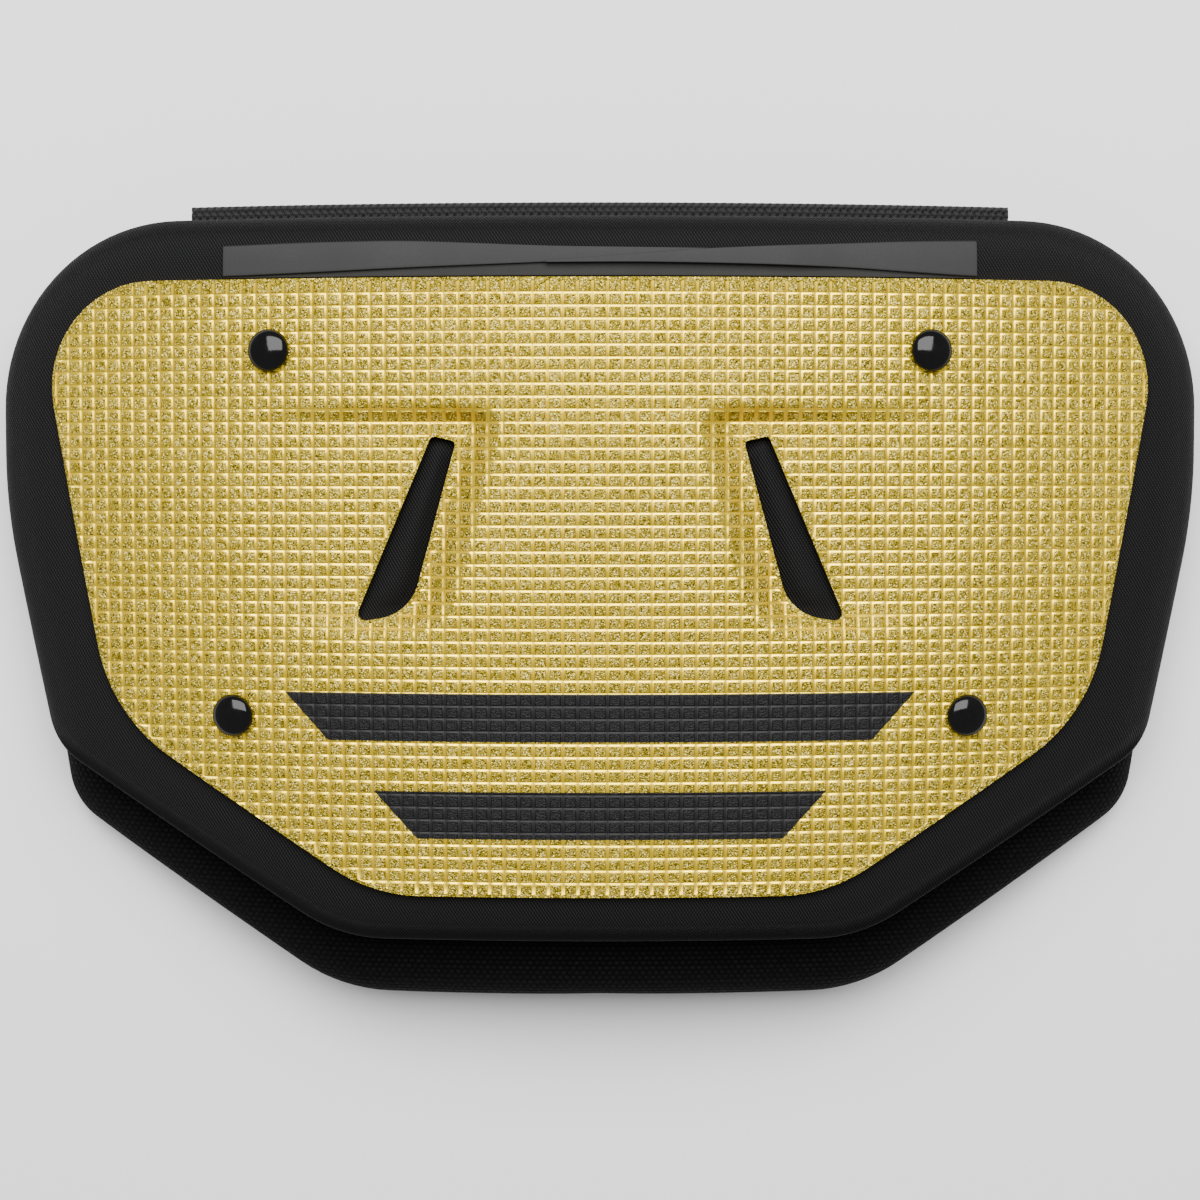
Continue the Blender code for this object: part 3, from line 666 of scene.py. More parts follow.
def nylon_material(settings):
    """Fine diagonal nylon weave with a faint sheen."""
    material, tree, shader = new_tree("woven_nylon")
    cloth = attribute(tree, "cloth").outputs["Vector"]
    weave = group_node(tree, "cloth_weave", vector=cloth, pitch=settings.weave_pitch, slant=0.62)
    grain = group_node(tree, "surface_grain", vector=cloth, patch_scale=18.0)
    dark = scaled(settings.nylon, 0.05)
    light = scaled(settings.nylon, 3.0)
    woven = mix_colour(tree, weave.outputs["Mask"], dark, light)
    faded = mix_colour(tree, grain.outputs["Patches"], woven, settings.nylon)
    even = mix_colour(tree, 0.25, woven, faded)
    # Painted shade: the rim darkens as it rolls down, less on the lip
    shade = math_node(tree, "MULTIPLY", attribute(tree, "shade").outputs["Fac"], 0.72)
    shaded = mix_colour(tree, shade, even, scaled(settings.nylon, 0.1))
    tree.links.new(shaded, shader.inputs["Base Color"])
    tree.links.new(stretch(tree, weave.outputs["Mask"], 0, 1, 0.85, 0.55), shader.inputs["Roughness"])
    tree.links.new(bump(tree, weave.outputs["Height"], 0.00020, 0.9), shader.inputs["Normal"])
    shader.inputs["Specular IOR Level"].default_value = 0.12
    return material


def mesh_cloth_material(settings):
    """Coarse black mesh cloth: staggered knots with dark holes between them."""
    material, tree, shader = new_tree("coarse_mesh")
    cloth = attribute(tree, "cloth").outputs["Vector"]
    knots = group_node(tree, "cloth_knots", vector=cloth, pitch=settings.mesh_pitch, flatness=0.8)
    fine = group_node(tree, "cloth_weave", vector=cloth, pitch=settings.mesh_pitch * 0.33, slant=0.9)
    dark = scaled(settings.mesh_cloth, 0.12)
    light = scaled(settings.mesh_cloth, 1.9)
    uneven = stretch(tree, knots.outputs["Random"], 0, 1, 0.55, 1)
    tone = math_node(tree, "MULTIPLY", knots.outputs["Height"], uneven)
    tree.links.new(mix_colour(tree, tone, dark, light), shader.inputs["Base Color"])
    shader.inputs["Roughness"].default_value = 0.85
    shader.inputs["Specular IOR Level"].default_value = 0.08
    small = bump(tree, fine.outputs["Height"], 0.00010, 0.5)
    tree.links.new(bump(tree, knots.outputs["Height"], 0.00045, 0.9, small), shader.inputs["Normal"])
    return material


def webbing_material(settings):
    """Coarse black webbing: lighter strands over dark gaps."""
    material, tree, shader = new_tree("coarse_webbing")
    relief = attribute(tree, "relief").outputs["Fac"]
    cloth = attribute(tree, "cloth").outputs["Vector"]
    strands = group_node(tree, "cloth_weave", vector=cloth, pitch=0.00055, slant=0.35)
    dark = scaled(settings.webbing, 0.06)
    light = scaled(settings.webbing, 2.6)
    tone = math_node(tree, "MULTIPLY", relief, stretch(tree, strands.outputs["Mask"], 0, 1, 0.65, 1))
    tree.links.new(mix_colour(tree, tone, dark, light), shader.inputs["Base Color"])
    shader.inputs["Roughness"].default_value = 0.7
    shader.inputs["Specular IOR Level"].default_value = 0.2
    tree.links.new(bump(tree, strands.outputs["Height"], 0.00012, 0.7), shader.inputs["Normal"])
    return material


def film_material(name, colour):
    """Smooth matt film with the faintest mottling, and a painted shadow line along both cut edges."""
    material, tree, shader = new_tree(name)
    place = add(tree, "ShaderNodeTexCoord").outputs["Object"]
    grain = group_node(tree, "surface_grain", vector=place, patch_scale=60.0, speck_scale=2600.0)
    mottled = mix_colour(tree, grain.outputs["Specks"], scaled(colour, 0.93), scaled(colour, 1.12))
    even = mix_colour(tree, grain.outputs["Patches"], mottled, colour)
    # Painted shadow: a dark line along both cut edges of the strip
    from_middle = math_node(tree, "SUBTRACT", attribute(tree, "share").outputs["Fac"], 0.5)
    painted_edge_shadow = stretch(tree, math_node(tree, "ABSOLUTE", from_middle), 0.46, 0.49)
    lined = mix_colour(tree, painted_edge_shadow, even, scaled(colour, 0.25))
    tree.links.new(lined, shader.inputs["Base Color"])
    tree.links.new(stretch(tree, grain.outputs["Patches"], 0, 1, 0.6, 0.7), shader.inputs["Roughness"])
    shader.inputs["Specular IOR Level"].default_value = 0.15
    tree.links.new(bump(tree, grain.outputs["Specks"], 0.00002, 0.5), shader.inputs["Normal"])
    return material


def enamel_material(settings):
    """Gloss black enamel with slight orange peel."""
    material, tree, shader = new_tree("black_enamel")
    place = add(tree, "ShaderNodeTexCoord").outputs["Object"]
    grain = group_node(tree, "surface_grain", vector=place, patch_scale=400.0, speck_scale=1400.0)
    mottled = mix_colour(tree, grain.outputs["Patches"], settings.enamel, scaled(settings.enamel, 1.8))
    tree.links.new(mottled, shader.inputs["Base Color"])
    tree.links.new(stretch(tree, grain.outputs["Patches"], 0, 1, 0.07, 0.13), shader.inputs["Roughness"])
    tree.links.new(bump(tree, grain.outputs["Specks"], 0.00001, 0.3), shader.inputs["Normal"])
    shader.inputs["Specular IOR Level"].default_value = 0.3
    return material


def new_piece(name, body, material, replaced=()):
    """Turn a bmesh into a finished piece of the object."""
    for face in body.faces:
        face.smooth = True
    mesh = bpy.data.meshes.new(name)
    body.to_mesh(mesh)
    body.free()
    piece = bpy.data.objects.new(name, mesh)
    bpy.context.scene.collection.objects.link(piece)
    mesh.materials.append(material)
    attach(piece, BODY)
    if replaced:
        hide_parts(*replaced)
    return piece


def cell_lines(length, pitch, flanks, groove_in_middle, fine_zones):
    """Places of the mesh lines: the feet and the bottom of each groove, and more where a wall runs."""
    count = int(length / 2 / pitch) + 2
    lines = []
    for index in range(-count, count + 1):
        bottom = (index + (0 if groove_in_middle else 0.5)) * pitch
        start = bottom + flanks["after"] * pitch
        end = bottom + (1 - flanks["before"]) * pitch
        lines += [(bottom - flanks["before"] * pitch, 0.0), (bottom, 1.0), (start, 0.0)]
        fine = any(low < (start + end) / 2 < high for low, high in fine_zones)
        steps = WALL_STEPS if fine else 1
        for step in range(1, steps):
            lines.append((start + (end - start) * step / steps, 0.0))
    return lines


def cut_to_outline(body, outline, clear=True):
    """Cut an open sheet along a convex outline by upright planes, and clear what lies outside."""
    for start, end in zip(outline, outline[1:] + outline[:1]):
        along = (end - start).normalized()
        bmesh.ops.bisect_plane(
            body, geom=body.verts[:] + body.edges[:] + body.faces[:], dist=1e-6,
            plane_co=(start.x, start.y, 0), plane_no=(-along.y, along.x, 0), clear_outer=clear,
        )


def cut_near(body, near, outline):
    """Cut only the near faces along a convex outline, and give back the faces that they became."""
    for start, end in zip(outline, outline[1:] + outline[:1]):
        along = (end - start).normalized()
        edges = {edge for face in near for edge in face.edges}
        verts = {vert for face in near for vert in face.verts}
        cut = bmesh.ops.bisect_plane(
            body, geom=near + list(edges) + list(verts), dist=1e-6,
            plane_co=(start.x, start.y, 0), plane_no=(-along.y, along.x, 0),
        )
        near = [item for item in cut["geom"] if isinstance(item, bmesh.types.BMFace)]
    return near


def cut_hole(body, outline, border):
    """Cut a convex hole in an open sheet, inside its border."""
    margin = 0.004
    left, right = min(point.x for point in border) - margin, max(point.x for point in border) + margin
    low, high = min(point.y for point in border) - margin, max(point.y for point in border) + margin
    near = []
    for face in body.faces:
        centre = face.calc_center_bounds()
        if left < centre.x < right and low < centre.y < high:
            near.append(face)
    near = cut_near(body, cut_near(body, near, border), outline)
    inside = []
    for face in near:
        centre = face.calc_center_median()
        if distance_inside(outline, centre.x, centre.y) > 0:
            inside.append(face)
    bmesh.ops.delete(body, geom=inside, context="FACES")


def in_border(x, y, outline, slots):
    """Whether (x, y) lies in the flat border along the plate's outline or round a slot."""
    margin = EDGE_BORDER * 1.05
    if abs(x) > 0.10 or y < PLATE_BOTTOM + 0.02 or y > PLATE_TOP - 0.005:
        return distance_inside(outline, x, y) < margin
    if SLOT_TOP_REACH - 0.002 < abs(x) < SLOT_TOP_REACH + SLOT_SPREAD + 0.002:
        return any(distance_inside(slot, x, y) > -margin for slot in slots)
    return False


def sharpen_grooves(body, relief_tag):
    """Crease the sheet along the feet and the bottom of each groove."""
    for edge in body.edges:
        deepest = [max(vertex[relief_tag] for vertex in face.verts) for face in edge.link_faces]
        foot = len(deepest) == 2 and min(deepest) < 0.01 < max(deepest)
        bottom = all(vertex[relief_tag] > 0.99 for vertex in edge.verts)
        if foot or bottom:
            edge.smooth = False


def make_plate(settings, material):
    """Embossed plate: a sheet of squares and grooves, trimmed, bent and given its thickness."""
    middle = (PLATE_TOP + PLATE_BOTTOM) / 2
    walls_across = (INNER_WALL, (-INNER_WALL[1], -INNER_WALL[0]))
    walls_down = [(low - middle, high - middle) for low, high in (UPPER_WALL, LOWER_WALL)]
    across = cell_lines(PLATE_WIDTH, settings.cell_pitch_across, FLANKS_ACROSS, False, walls_across)
    down = cell_lines(PLATE_HEIGHT, settings.cell_pitch_down, FLANKS_DOWN, True, walls_down)
    body = bmesh.new()
    relief_tag = body.verts.layers.float.new("relief")
    # The bar layer marks the level grooves, broken where upright ones cross, for the painted highlight on
    # the gold
    highlight_bar_tag = body.verts.layers.float.new("bar")
    bmesh.ops.create_grid(body, x_segments=len(across) - 1, y_segments=len(down) - 1, size=1)
    for vertex in body.verts:
        column = round((vertex.co.x + 1) / 2 * (len(across) - 1))
        row = round((vertex.co.y + 1) / 2 * (len(down) - 1))
        arc, upright = across[column]
        height, level = down[row]
        vertex.co = (ARCH_RADIUS * math.sin(arc / ARCH_RADIUS), middle + height, 0)
        vertex[relief_tag] = max(upright, level)
        vertex[highlight_bar_tag] = level * (1 - upright)
    outlines = []
    for inset in (0.0, EDGE_BORDER):
        right = side_outline(PLATE_CORNERS, PLATE_WIDTH, PLATE_TOP, PLATE_BOTTOM, inset)
        outlines.append(right + [Vector((-point.x, point.y)) for point in reversed(right)])
    cut_to_outline(body, outlines[0])
    cut_to_outline(body, outlines[1], clear=False)
    slots = []
    for side in (-1, 1):
        slot = slot_outline(side)[::side]
        border = slot_outline(side, EDGE_BORDER)[::side]
        slots.append(slot)
        cut_hole(body, slot, border)
    bmesh.ops.remove_doubles(body, verts=body.verts, dist=2e-6)
    for vertex in body.verts:
        if in_border(vertex.co.x, vertex.co.y, outlines[0], slots):
            vertex[relief_tag] = 0.0
            vertex[highlight_bar_tag] = 0.0
    sharpen_grooves(body, relief_tag)
    grown = bmesh.ops.extrude_face_region(body, geom=list(body.faces))["geom"]
    front = {item for item in grown if isinstance(item, bmesh.types.BMVert)}
    for vertex in body.verts:
        x, y = vertex.co.x, vertex.co.y
        base = face_height(x, y) - scoop_dip(x, y)
        if vertex in front:
            vertex.co.z = base - settings.groove_depth * vertex[relief_tag]
        else:
            vertex.co.z = base - PLATE_THICKNESS
            vertex[relief_tag] = 1.0
    bmesh.ops.recalc_face_normals(body, faces=body.faces)
    for edge in body.edges:
        if edge.calc_face_angle(0) > math.radians(70):
            edge.smooth = False
    return new_piece("embossed_plate", body, material, ["front_plate"])


class PadLayer:
    """Rows and columns of points over a padded layer, and the rings of its rim."""

    def __init__(self, corners, width, top, bottom, columns):
        self.corners = corners
        self.width = width
        self.top = top
        self.bottom = bottom
        self.columns = columns

    def plan(self, inset):
        """Plan position of each row and column."""
        plan = []
        for edge in side_outline(self.corners, self.width, self.top, self.bottom, inset):
            row = [(edge.x * (2 * column / self.columns - 1), edge.y) for column in range(self.columns + 1)]
            plan.append(row)
        return plan

    def build(self, rings, height_at, shade_at):
        """Closed body from rings of (inset, drop), with a point's height and shade from two functions."""
        rows = len(side_outline(self.corners, self.width, self.top, self.bottom)) - 1
        body = bmesh.new()
        row_tag = body.verts.layers.int.new("row")
        column_tag = body.verts.layers.int.new("column")
        cloth_tag = body.verts.layers.float_vector.new("cloth")
        shade_tag = body.verts.layers.float.new("shade")
        bmesh.ops.create_grid(body, x_segments=self.columns, y_segments=rows, size=1)
        for vertex in body.verts:
            vertex[row_tag] = round((1 - vertex.co.y) / 2 * rows)
            vertex[column_tag] = round((vertex.co.x + 1) / 2 * self.columns)
        first_plan = self.plan(rings[0][0])

        def place(vertices, ring, paid_out):
            inset, drop = rings[ring][0], rings[ring][1]
            plan = self.plan(inset)
            for vertex in vertices:
                row, column = vertex[row_tag], vertex[column_tag]
                x, y = plan[row][column]
                vertex.co = (x, y, height_at(x, y, drop, ring))
                vertex[shade_tag] = shade_at(y, ring)
                flat_x, flat_y = first_plan[row][column]
                outward = Vector((x - flat_x, y - flat_y))
                if outward.length > 1e-7:
                    outward = outward.normalized() * paid_out
                vertex[cloth_tag] = (flat_x + outward.x, flat_y + outward.y, 0)

        def verts_of(items):
            return [item for item in items if isinstance(item, bmesh.types.BMVert)]

        rim = [edge for edge in body.edges if edge.is_boundary]
        front = list(body.verts)
        copied = bmesh.ops.duplicate(body, geom=list(body.faces))["geom"]
        place(front, 0, 0)
        place(verts_of(copied), len(rings) - 1, 0)
        paid_out = 0
        for ring in range(1, len(rings)):
            step = Vector((rings[ring][0] - rings[ring - 1][0], rings[ring][1] - rings[ring - 1][1])).length
            paid_out += step
            grown = bmesh.ops.extrude_edge_only(body, edges=rim)["geom"]
            rim = [item for item in grown if isinstance(item, bmesh.types.BMEdge)]
            place(verts_of(grown), ring, paid_out)
        bmesh.ops.remove_doubles(body, verts=body.verts, dist=1e-6)
        bmesh.ops.recalc_face_normals(body, faces=body.faces)
        return body


def roll_rings(top_drop, bottom_drop, steps):
    """Rings of a rolled rim: an elliptical upper roll, the widest line, and a round lower roll."""
    rings = []
    for step in range(steps + 1):
        angle = math.pi / 2 * step / steps
        rings.append((ROLL_WIDTH * (1 - math.sin(angle)), top_drop + ROLL_UPPER * (1 - math.cos(angle))))
    for step in range(1, steps + 1):
        angle = math.pi / 2 * step / steps
        rings.append((ROLL_LOWER * (1 - math.cos(angle)), bottom_drop - ROLL_LOWER * (1 - math.sin(angle))))
    return rings


def evened(moves, mesh):
    """Each move averaged with those of the points joined to it."""
    totals = [move.copy() for move in moves]
    counts = [1] * len(moves)
    for edge in mesh.edges:
        first, second = edge.vertices
        totals[first] += moves[second]
        totals[second] += moves[first]
        counts[first] += 1
        counts[second] += 1
    return [total / count for total, count in zip(totals, counts)]


def puff(piece, held):
    """Swell a padded piece as pressed cloth. The held points stay, and no point moves past the cap."""
    group = piece.vertex_groups.new(name="held")
    group.add(held, 1.0, "REPLACE")
    cloth = piece.modifiers.new("Cloth", "CLOTH")
    cloth.settings.use_pressure = True
    cloth.settings.uniform_pressure_force = CLOTH_PRESSURE
    cloth.settings.vertex_group_mass = group.name
    cloth.settings.effector_weights.gravity = 0
    cloth.settings.tension_stiffness = CLOTH_STIFFNESS
    cloth.settings.compression_stiffness = CLOTH_STIFFNESS
    cloth.settings.bending_stiffness = CLOTH_BENDING
    cloth.point_cache.frame_start = 1
    cloth.point_cache.frame_end = CLOTH_FRAMES
    for number in range(1, CLOTH_FRAMES + 1):
        bpy.context.scene.frame_set(number)
    swollen = piece.evaluated_get(bpy.context.evaluated_depsgraph_get()).data
    moves = [after.co - before.co for before, after in zip(piece.data.vertices, swollen.vertices)]
    for turn in range(EVENING_TURNS):
        moves = evened(moves, piece.data)
    piece.modifiers.remove(cloth)
    bpy.context.scene.frame_set(1)
    for vertex, move in zip(piece.data.vertices, moves):
        if move.length > SWELL_CAP:
            move *= SWELL_CAP / move.length
        place = vertex.co + move
        vertex.co = (place.x, place.y, max(place.z, 0))


def make_front_pad(settings, material):
    """Woven pad: hollows under the recesses, cloth that fills the slots, and a lip along its lower edge."""
    rings = [(inset, FRONT_TOP_DROP) for inset in HOLLOW_INSETS]
    rings += roll_rings(FRONT_TOP_DROP, FRONT_BOTTOM_DROP, 10)
    slots = [slot_outline(side) for side in (-1, 1)]

    def height_at(x, y, drop, ring):
        height = face_height(x, y) - drop
        if ring < len(HOLLOW_INSETS):
            height -= scoop_dip(x, y, HOLLOW_EASE)
            for slot in slots:
                inside = distance_inside(slot, x, y) + BULGE_MARGIN
                if inside > 0:
                    height += settings.slot_bulge * smooth_step(inside / BULGE_RUN)
        low = smooth_step((LIP_START - y) / LIP_RUN)
        return height + low * settings.lip_height * LIP_LIFTS.get(ring, 0)

    def shade_at(y, ring):
        # Painted shade on the rolled rim, lifted on the lip rings as a painted highlight
        if ring < FIRST_SHADED_RING:
            return 0.0
        low = smooth_step((LIP_START - y) / LIP_RUN)
        lip = low if ring in LIP_RINGS else 0
        return (FIRST_RING_SHADE if ring == FIRST_SHADED_RING else 1.0) * (1 - LIP_PAINTED_HIGHLIGHT * lip)

    layer = PadLayer(FRONT_PAD_CORNERS, FRONT_PAD_WIDTH, FRONT_PAD_TOP, FRONT_PAD_BOTTOM, 220)
    body = layer.build(rings, height_at, shade_at)
    pad = new_piece("woven_pad", body, material, ["front_pad"])
    return pad


def make_rear_pad(settings, material):
    """Mesh cushion with a hollow rear face, flat where it rests."""
    rings = roll_rings(REAR_TOP_DROP, REAR_BOTTOM_DROP, 8)

    def height_at(x, y, drop, ring):
        return max(face_height(x, y) - drop, 0)

    layer = PadLayer(REAR_PAD_CORNERS, REAR_PAD_WIDTH, REAR_PAD_TOP, REAR_PAD_BOTTOM, 60)
    body = layer.build(rings, height_at, lambda y, ring: 0.0)
    pad = new_piece("mesh_cushion", body, material, ["rear_pad"])
    edge = side_outline(FRONT_PAD_CORNERS, FRONT_PAD_WIDTH, FRONT_PAD_TOP, FRONT_PAD_BOTTOM)
    edge += [Vector((-point.x, point.y)) for point in reversed(edge)]
    held = []
    for vertex in pad.data.vertices:
        drop = face_height(vertex.co.x, vertex.co.y) - vertex.co.z
        under_front_pad = distance_inside(edge, vertex.co.x, vertex.co.y) > -HELD_REACH
        touches = under_front_pad and drop < REAR_TOP_DROP + HELD_DEPTH
        if touches or vertex.co.z < HELD_HEIGHT:
            held.append(vertex.index)
    puff(pad, held)
    return pad


def make_webbing(settings, material):
    """Coarse webbing strip: rows of slanted knots over a bent strip."""
    columns, rows = 640, 50
    low, high = WEBBING_LOW, WEBBING_HIGH
    body = bmesh.new()
    cloth_tag = body.verts.layers.float_vector.new("cloth")
    relief_tag = body.verts.layers.float.new("relief")
    bmesh.ops.create_grid(body, x_segments=columns, y_segments=rows, size=1)
    for vertex in body.verts:
        vertex.co = (
            low.x + (high.x - low.x) * (vertex.co.x + 1) / 2,
            low.y + (high.y - low.y) * (vertex.co.y + 1) / 2,
            0,
        )
        vertex[cloth_tag] = vertex.co
        vertex[relief_tag] = knot_relief(vertex.co.x, vertex.co.y, settings.braid_pitch)
    grown = bmesh.ops.extrude_face_region(body, geom=list(body.faces))["geom"]
    front = {item for item in grown if isinstance(item, bmesh.types.BMVert)}
    for vertex in body.verts:
        x, y = vertex.co.x, vertex.co.y
        inside = min(x - low.x, high.x - x, y - low.y, high.y - y)
        away = max(1 - inside / WEBBING_ROUNDING, 0)
        fall = WEBBING_ROUNDING * (1 - math.sqrt(max(1 - away * away, 0)))
        relief = WEBBING_RELIEF * (1 - vertex[relief_tag])
        top = face_height(x, y) - FRONT_BOTTOM_DROP - GAP
        if vertex in front:
            vertex.co.z = top - fall - relief
        else:
            vertex.co.z = top - WEBBING_THICKNESS + fall * 0.5
    bmesh.ops.recalc_face_normals(body, faces=body.faces)
    return new_piece("braided_webbing", body, material, ["top_webbing"])


def knot_relief(x, y, pitch):
    """Height of the webbing's knots at (x, y): slanted ovals in staggered rows."""
    row_height = pitch * KNOT_ROW
    row = math.floor(y / row_height)
    local_y = y / row_height - row - 0.5
    slant = KNOT_SLANT if row % 2 else -KNOT_SLANT
    across = x / (pitch * KNOT_LENGTH) + 0.5 * (row % 2) + slant * local_y
    local_x = across - math.floor(across) - 0.5
    return math.sqrt(max(1 - KNOT_FALL_ALONG * local_x ** 2 - KNOT_FALL_ACROSS * local_y ** 2, 0))


def front_roll_drop(y):
    """Drop of the front pad's upper face where its top rim rolls down."""
    share = 1 - min(max(FRONT_PAD_TOP - y, 0), ROLL_WIDTH) / ROLL_WIDTH
    return FRONT_TOP_DROP + ROLL_UPPER * (1 - math.sqrt(1 - share ** 2))


def station_at(stations, along):
    """Lower and upper edge of a tongue at a share of its length."""
    for near, far in zip(stations, stations[1:]):
        if along <= far["along"]:
            share = (along - near["along"]) / (far["along"] - near["along"])
            lower = near["lower"] + (far["lower"] - near["lower"]) * share
            upper = near["upper"] + (far["upper"] - near["upper"]) * share
            return lower, upper
    return stations[-1]["lower"], stations[-1]["upper"]


def softened(stations):
    """Function that gives a tongue's edges with the corners between its stations smoothed."""
    def edges_at(along):
        edges = []
        for step in range(-2, 3):
            place = min(max(along + TONGUE_SMOOTHING * step / 2, 0), 1)
            edges.append(station_at(stations, place))
        lowers, uppers = zip(*edges)
        return sum(lowers) / len(edges), sum(uppers) / len(edges)
    return edges_at


def under_edges(along):
    """Edges of the darker strip under the tongues: level below, humped above."""
    hump = 1 - (2 * along - 1) ** 2
    return UNDER_STRIP_LOW, UNDER_STRIP_END + UNDER_STRIP_HUMP * hump ** 1.2


def climbing_lift(x):
    """Lift of the right tongue, which climbs on the left one."""
    left_tip = LEFT_TONGUE_LENGTH - TONGUE_START_REACH
    climb = smooth_step((left_tip + CLIMB_START - x) / CLIMB_RUN)
    return TONGUE_SEAT + climb * (TONGUE_THICKNESS + GAP)


def make_strip(name, side, length, edges_at, lift_at, thickness, material, replaced=()):
    """Thin strip on the front pad's upper rim, with softened edges."""
    columns, rows = 160, 8
    body = bmesh.new()
    share_tag = body.verts.layers.float.new("share")
    bmesh.ops.create_grid(body, x_segments=columns, y_segments=rows, size=1)
    for vertex in body.verts:
        along = (vertex.co.x + 1) / 2
        lower, upper = edges_at(along)
        share = (vertex.co.y + 1) / 2
        vertex[share_tag] = share
        x = side * (TONGUE_START_REACH - along * length)
        y = PLATE_TOP + TONGUE_ABOVE_PLATE + TONGUE_WIDTH * (lower + (upper - lower) * share)
        vertex.co = (x, y, face_height(x, y) - front_roll_drop(y) + lift_at(x))
    grown = bmesh.ops.extrude_face_region(body, geom=list(body.faces))["geom"]
    raised = [item for item in grown if isinstance(item, bmesh.types.BMVert)]
    bmesh.ops.translate(body, verts=raised, vec=(0, 0, thickness))
    bmesh.ops.recalc_face_normals(body, faces=body.faces)
    top_edges = [
        edge for edge in body.edges
        if len(edge.link_faces) == 2 and edge.calc_face_angle(0) > math.radians(50)
        and all(vertex in set(raised) for vertex in edge.verts)
    ]
    bmesh.ops.bevel(
        body, geom=top_edges, offset=thickness * 0.3, offset_type="OFFSET", segments=2, profile=0.5,
        affect="EDGES", material=-1, clamp_overlap=True,
    )
    return new_piece(name, body, material, replaced)


def make_tongues(material, under_material):
    """Two grey tapered tongues, the right one on top, over a darker strip that shows below them."""
    make_strip(
        "grey_tongue_left", -1, LEFT_TONGUE_LENGTH, softened(LEFT_TONGUE), lambda x: TONGUE_SEAT,
        TONGUE_THICKNESS, material, ["tongue_left"],
    )
    make_strip(
        "grey_tongue_right", 1, RIGHT_TONGUE_LENGTH, softened(RIGHT_TONGUE), climbing_lift,
        TONGUE_THICKNESS, material, ["tongue_right"],
    )
    make_strip(
        "under_strip", 1, 2 * TONGUE_START_REACH, under_edges, lambda x: UNDER_STRIP_SEAT,
        UNDER_STRIP_THICKNESS, under_material,
    )


def snap_profile():
    """Half section of a snap: the shank, the cap's rounded edge and its dome, as (radius, level)."""
    rim = SNAP_DIAMETER / 2
    profile = [
        (0, -SNAP_SHANK_DEPTH), (SNAP_SHANK_RADIUS, -SNAP_SHANK_DEPTH), (SNAP_SHANK_RADIUS, GAP),
        (rim - SNAP_EDGE_INSET, GAP), (rim - SNAP_EDGE_STEP, 2 * GAP),
    ]
    steps = 14
    for step in range(steps + 1):
        angle = math.pi / 2 * step / steps
        rise = (SNAP_HEIGHT - SNAP_EDGE) * math.sin(angle)
        profile.append((rim * math.cos(angle) ** SNAP_DOME_POWER, GAP + SNAP_EDGE + rise))
    return profile


def make_snaps(material):
    """Four domed snap caps, each on its shank."""
    for name, side, (reach, height) in (
        ("snap_upper_left", -1, SNAP_UPPER),
        ("snap_upper_right", 1, SNAP_UPPER),
        ("snap_lower_left", -1, SNAP_LOWER),
        ("snap_lower_right", 1, SNAP_LOWER),
    ):
        body = bmesh.new()
        line = [body.verts.new((radius, 0, level)) for radius, level in snap_profile()]
        edges = [body.edges.new(pair) for pair in zip(line, line[1:])]
        bmesh.ops.spin(
            body, geom=line + edges, cent=(0, 0, 0), axis=(0, 0, 1),
            angle=2 * math.pi, steps=56, use_merge=True,
        )
        bmesh.ops.remove_doubles(body, verts=body.verts, dist=1e-6)
        bmesh.ops.recalc_face_normals(body, faces=body.faces)
        x = side * reach
        turn = face_normal(x, height).to_track_quat("Z", "Y").to_matrix()
        bmesh.ops.rotate(body, verts=body.verts, cent=(0, 0, 0), matrix=turn)
        bmesh.ops.translate(body, verts=body.verts, vec=(x, height, face_height(x, height)))
        piece = new_piece(name + "_cap", body, material, [name])
        piece.data.set_sharp_from_angle(angle=math.radians(50))


def make_stage(settings):
    """Plain pale floor, soft studio light and the camera at the photograph's angle."""
    body = bmesh.new()
    bmesh.ops.create_grid(body, x_segments=1, y_segments=1, size=FLOOR_REACH)
    mesh = bpy.data.meshes.new("studio_floor")
    body.to_mesh(mesh)
    body.free()
    floor = bpy.data.objects.new("studio_floor", mesh)
    bpy.context.scene.collection.objects.link(floor)
    material, tree, shader = new_tree("pale_floor")
    shader.inputs["Base Color"].default_value = (FLOOR_WHITE, FLOOR_WHITE, FLOOR_WHITE, 1)
    shader.inputs["Roughness"].default_value = 0.9
    mesh.materials.append(material)

    world = bpy.data.worlds.new("studio_world")
    bpy.context.scene.world = world
    world.use_nodes = True
    world.node_tree.nodes["Background"].inputs["Color"].default_value = (1, 1, 1, 1)
    world.node_tree.nodes["Background"].inputs["Strength"].default_value = WORLD_STRENGTH

    data = bpy.data.lights.new("softbox", "AREA")
    data.shape = "RECTANGLE"
    data.size, data.size_y = SOFTBOX_SIZE
    data.energy = SOFTBOX_POWER * settings.light_power
    light = bpy.data.objects.new("softbox", data)
    bpy.context.scene.collection.objects.link(light)
    light.location = SOFTBOX_PLACE
    light.rotation_euler = (-Vector(SOFTBOX_PLACE)).to_track_quat("-Z", "Y").to_euler()

    data = bpy.data.cameras.new("photo_camera")
    data.sensor_width = SENSOR_WIDTH
    data.lens = SENSOR_WIDTH * FOCAL_PIXELS / PHOTO_PIXELS
    data.clip_start, data.clip_end = CAMERA_CLIP
    camera = bpy.data.objects.new("photo_camera", data)
    bpy.context.scene.collection.objects.link(camera)
    camera.location = (0, settings.camera_rise, CROWN_HEIGHT + settings.camera_height)
    camera.rotation_euler = (-settings.camera_tilt, 0, 0)
    bpy.context.scene.camera = camera


class BACKPLATE_OT_plate(bpy.types.Operator):
    """Build the embossed gold plate"""

    bl_idname = "backplate.plate"
    bl_label = "Front plate"

    def execute(self, context):
        settings = context.scene.back_plate_plate
        make_plate(settings, gold_material(settings))
        return {"FINISHED"}


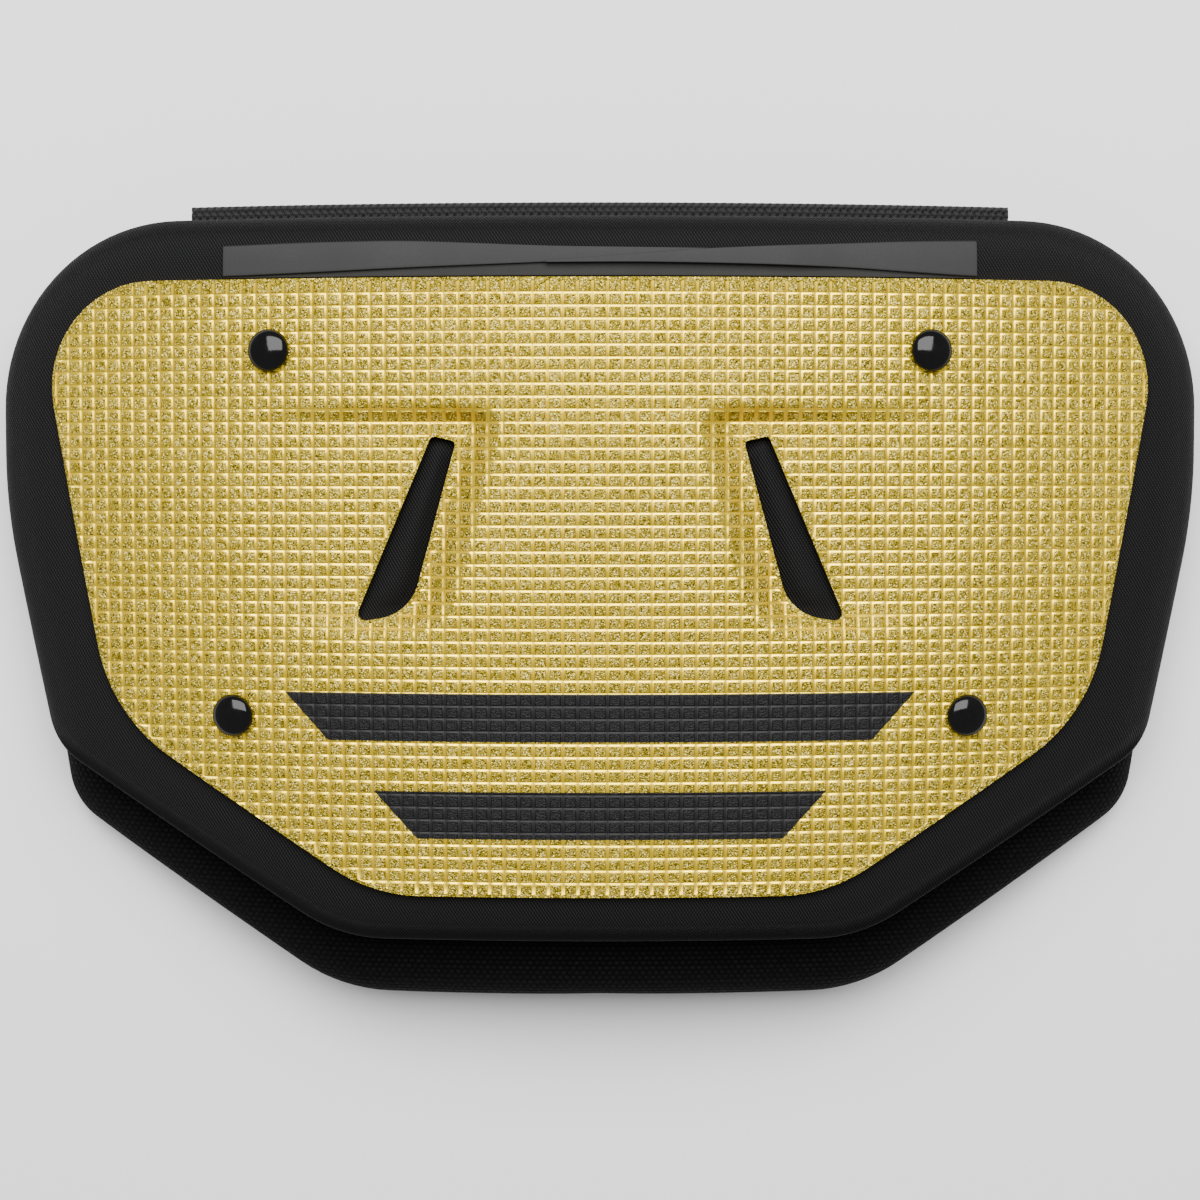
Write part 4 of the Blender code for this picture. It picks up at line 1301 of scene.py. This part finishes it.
class BACKPLATE_OT_pads(bpy.types.Operator):
    """Build the woven pad and the mesh cushion"""

    bl_idname = "backplate.pads"
    bl_label = "Pads"

    def execute(self, context):
        settings = context.scene.back_plate_pads
        make_front_pad(settings, nylon_material(settings))
        make_rear_pad(settings, mesh_cloth_material(settings))
        return {"FINISHED"}


class BACKPLATE_OT_webbing(bpy.types.Operator):
    """Build the webbing strip along the top"""

    bl_idname = "backplate.webbing"
    bl_label = "Webbing"

    def execute(self, context):
        settings = context.scene.back_plate_trim
        make_webbing(settings, webbing_material(settings))
        return {"FINISHED"}


class BACKPLATE_OT_tongues(bpy.types.Operator):
    """Build the grey tongues above the plate"""

    bl_idname = "backplate.tongues"
    bl_label = "Tongues"

    def execute(self, context):
        settings = context.scene.back_plate_trim
        grey = film_material("grey_film", settings.tongue)
        dark = film_material("dark_film", scaled(settings.tongue, UNDER_STRIP_SHADE))
        make_tongues(grey, dark)
        return {"FINISHED"}


class BACKPLATE_OT_snaps(bpy.types.Operator):
    """Build the four snap caps"""

    bl_idname = "backplate.snaps"
    bl_label = "Snaps"

    def execute(self, context):
        make_snaps(enamel_material(context.scene.back_plate_trim))
        return {"FINISHED"}


class BACKPLATE_OT_stage(bpy.types.Operator):
    """Build the floor, the lights and the camera"""

    bl_idname = "backplate.stage"
    bl_label = "Stage"

    def execute(self, context):
        make_stage(context.scene.back_plate_stage)
        return {"FINISHED"}


OPERATORS = (
    BACKPLATE_OT_stage,
    BACKPLATE_OT_plate,
    BACKPLATE_OT_pads,
    BACKPLATE_OT_webbing,
    BACKPLATE_OT_tongues,
    BACKPLATE_OT_snaps,
)


class BACKPLATE_PT_panel(bpy.types.Panel):
    """Lists the back plate's pieces and their settings"""

    bl_idname = "BACKPLATE_PT_panel"
    bl_label = "Back plate"
    bl_space_type = "VIEW_3D"
    bl_region_type = "UI"
    bl_category = "Back plate"

    def draw(self, context):
        for operator in OPERATORS:
            self.layout.operator(operator.bl_idname)
        for name, group in SETTINGS:
            box = self.layout.box()
            for key in group.__annotations__:
                box.prop(getattr(context.scene, name), key)


SETTINGS = (
    ("back_plate_plate", PlateSettings),
    ("back_plate_pads", PadSettings),
    ("back_plate_trim", TrimSettings),
    ("back_plate_stage", StageSettings),
)
CLASSES = (*[group for name, group in SETTINGS], *OPERATORS, BACKPLATE_PT_panel)


def register():
    """Add the classes and the settings to Blender."""
    for item in CLASSES:
        bpy.utils.register_class(item)
    for name, group in SETTINGS:
        setattr(bpy.types.Scene, name, PointerProperty(type=group))


def unregister():
    """Remove what register added."""
    for name, group in SETTINGS:
        delattr(bpy.types.Scene, name)
    for item in reversed(CLASSES):
        bpy.utils.unregister_class(item)


def main():
    """Build every piece in order."""
    register()
    bpy.ops.backplate.stage()
    bpy.ops.backplate.plate()
    bpy.ops.backplate.pads()
    bpy.ops.backplate.webbing()
    bpy.ops.backplate.tongues()
    bpy.ops.backplate.snaps()


if __name__ == "__main__":
    main()
